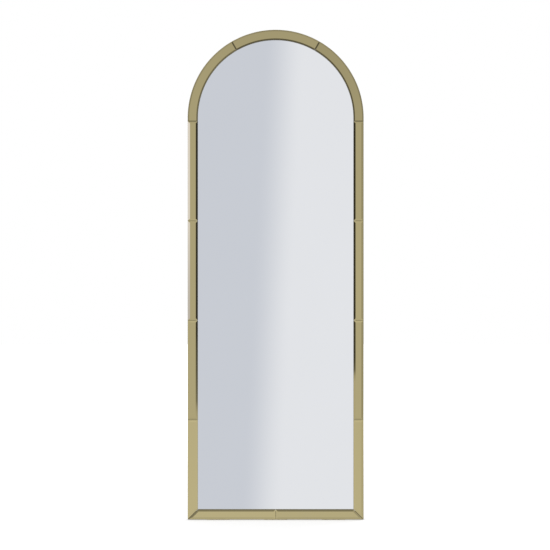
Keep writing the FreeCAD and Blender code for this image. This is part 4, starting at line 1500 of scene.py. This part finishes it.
@dataclass
class Studio:
    """The camera, the lamps and the floor around the mirror."""

    camera_distance: float = 5.5
    camera_height: float = 0.8498
    camera_across: float = -0.0023
    view_width: float = 1.9064
    sensor: float = 36.0
    lamps: tuple[tuple[str, tuple[float, float, float]], ...] = (
        ("front_lamp", (-2.4, -3.2, 3.2)), ("back_lamp", (2.6, 3.0, 3.0)))
    lamp_size: float = 2.4
    lamp_power: float = 95.0
    floor_radius: float = 14.0
    floor_sides: int = 96
    floor_level: float = 0.42
    floor_glow: float = 0.65
    glow_reach: tuple[float, float] = (0.6, 4.0)
    contact_reach: float = 0.02
    contact_shade: float = 0.6

    def build(self) -> None:
        """Builds the camera, the surroundings, the lamps and the floor."""
        self.build_camera()
        Surroundings().build()
        self.build_lamps()
        self.build_floor()
        bpy.context.scene.view_settings.view_transform = "Standard"

    def build_camera(self) -> None:
        """Stands the camera straight in front of the mirror."""
        data = bpy.data.cameras.new("camera")
        data.sensor_width = self.sensor
        data.lens = self.sensor * self.camera_distance / self.view_width
        camera = add_object("camera", data)
        camera.location = (self.camera_across, BorderLayout().front - self.camera_distance,
                           self.camera_height)
        camera.rotation_euler = (math.radians(90), 0, 0)
        bpy.context.scene.camera = camera

    def build_lamps(self) -> None:
        """Hangs soft lamps in front of and behind the mirror, out of its reflection."""
        for name, place in self.lamps:
            data = bpy.data.lights.new(name, "AREA")
            data.shape = "SQUARE"
            data.size = self.lamp_size
            data.energy = self.lamp_power
            lamp = add_object(name, data)
            lamp.location = place
            aim = UP * self.camera_height - Vector(place)
            lamp.rotation_euler = aim.to_track_quat("-Z", "Y").to_euler()
            lamp.visible_glossy = False

    def build_floor(self) -> None:
        """Lays a pale floor, unseen in the mirror, whose glow carries a painted contact shadow."""
        made = Surface("pale_floor", roughness=0.9, specular_ior_level=0.1,
                       emission_color=grey(1.0))
        # The glow for the camera is weaker near the mirror, and the occlusion below paints a
        # contact shadow under it.
        away = made.node("VectorMath", {0: made.place}, operation="LENGTH").outputs["Value"]
        lift = made.stepped(away, *self.glow_reach, self.floor_glow, 1.0)
        sky = made.node("AmbientOcclusion", {"Distance": self.contact_reach}, samples=8)
        shade = made.stepped(sky.outputs["AO"], 0.0, 1.0, self.contact_shade, 1.0)
        camera_ray = made.node("LightPath").outputs["Is Camera Ray"]
        made.feed(base_color=made.drift(grey(self.floor_level), scale=2.0, amount=0.01),
                  emission_strength=made.product(camera_ray, lift, shade))
        work = Workpiece()
        work.lay_disc(self.floor_radius, self.floor_sides)
        floor = work.finish("floor", [made.material])
        floor.visible_glossy = False


def main() -> None:
    """Builds the studio and dresses the mirror, from the glass to the feet."""
    logging.basicConfig(level=logging.INFO, format="%(name)s: %(message)s")
    Studio().build()
    GlassBorder().build()
    MirrorPlate().build()
    dress_nodes()
    FoamBlocks().build()
    ring_steel = PlatedSteel("nickel_plate", srgb(206, 202, 194), (0.14, 0.3)).build()
    bumper_rubber = Rubber("bumper_rubber", srgb(58, 56, 54)).build()
    foot_rubber = Rubber("foot_silicone", srgb(208, 203, 186), (0.35, 0.5)).build()
    for side in Side:
        DRing().build(side, ring_steel)
        for level in ("upper", "lower"):
            WallBumper().build(f"wall_bumper_{level}_{side.value}", bumper_rubber)
    for place in ("left", "centre", "right"):
        FootPad().build(f"foot_pad_{place}", foot_rubber)


if __name__ == "__main__":
    main()
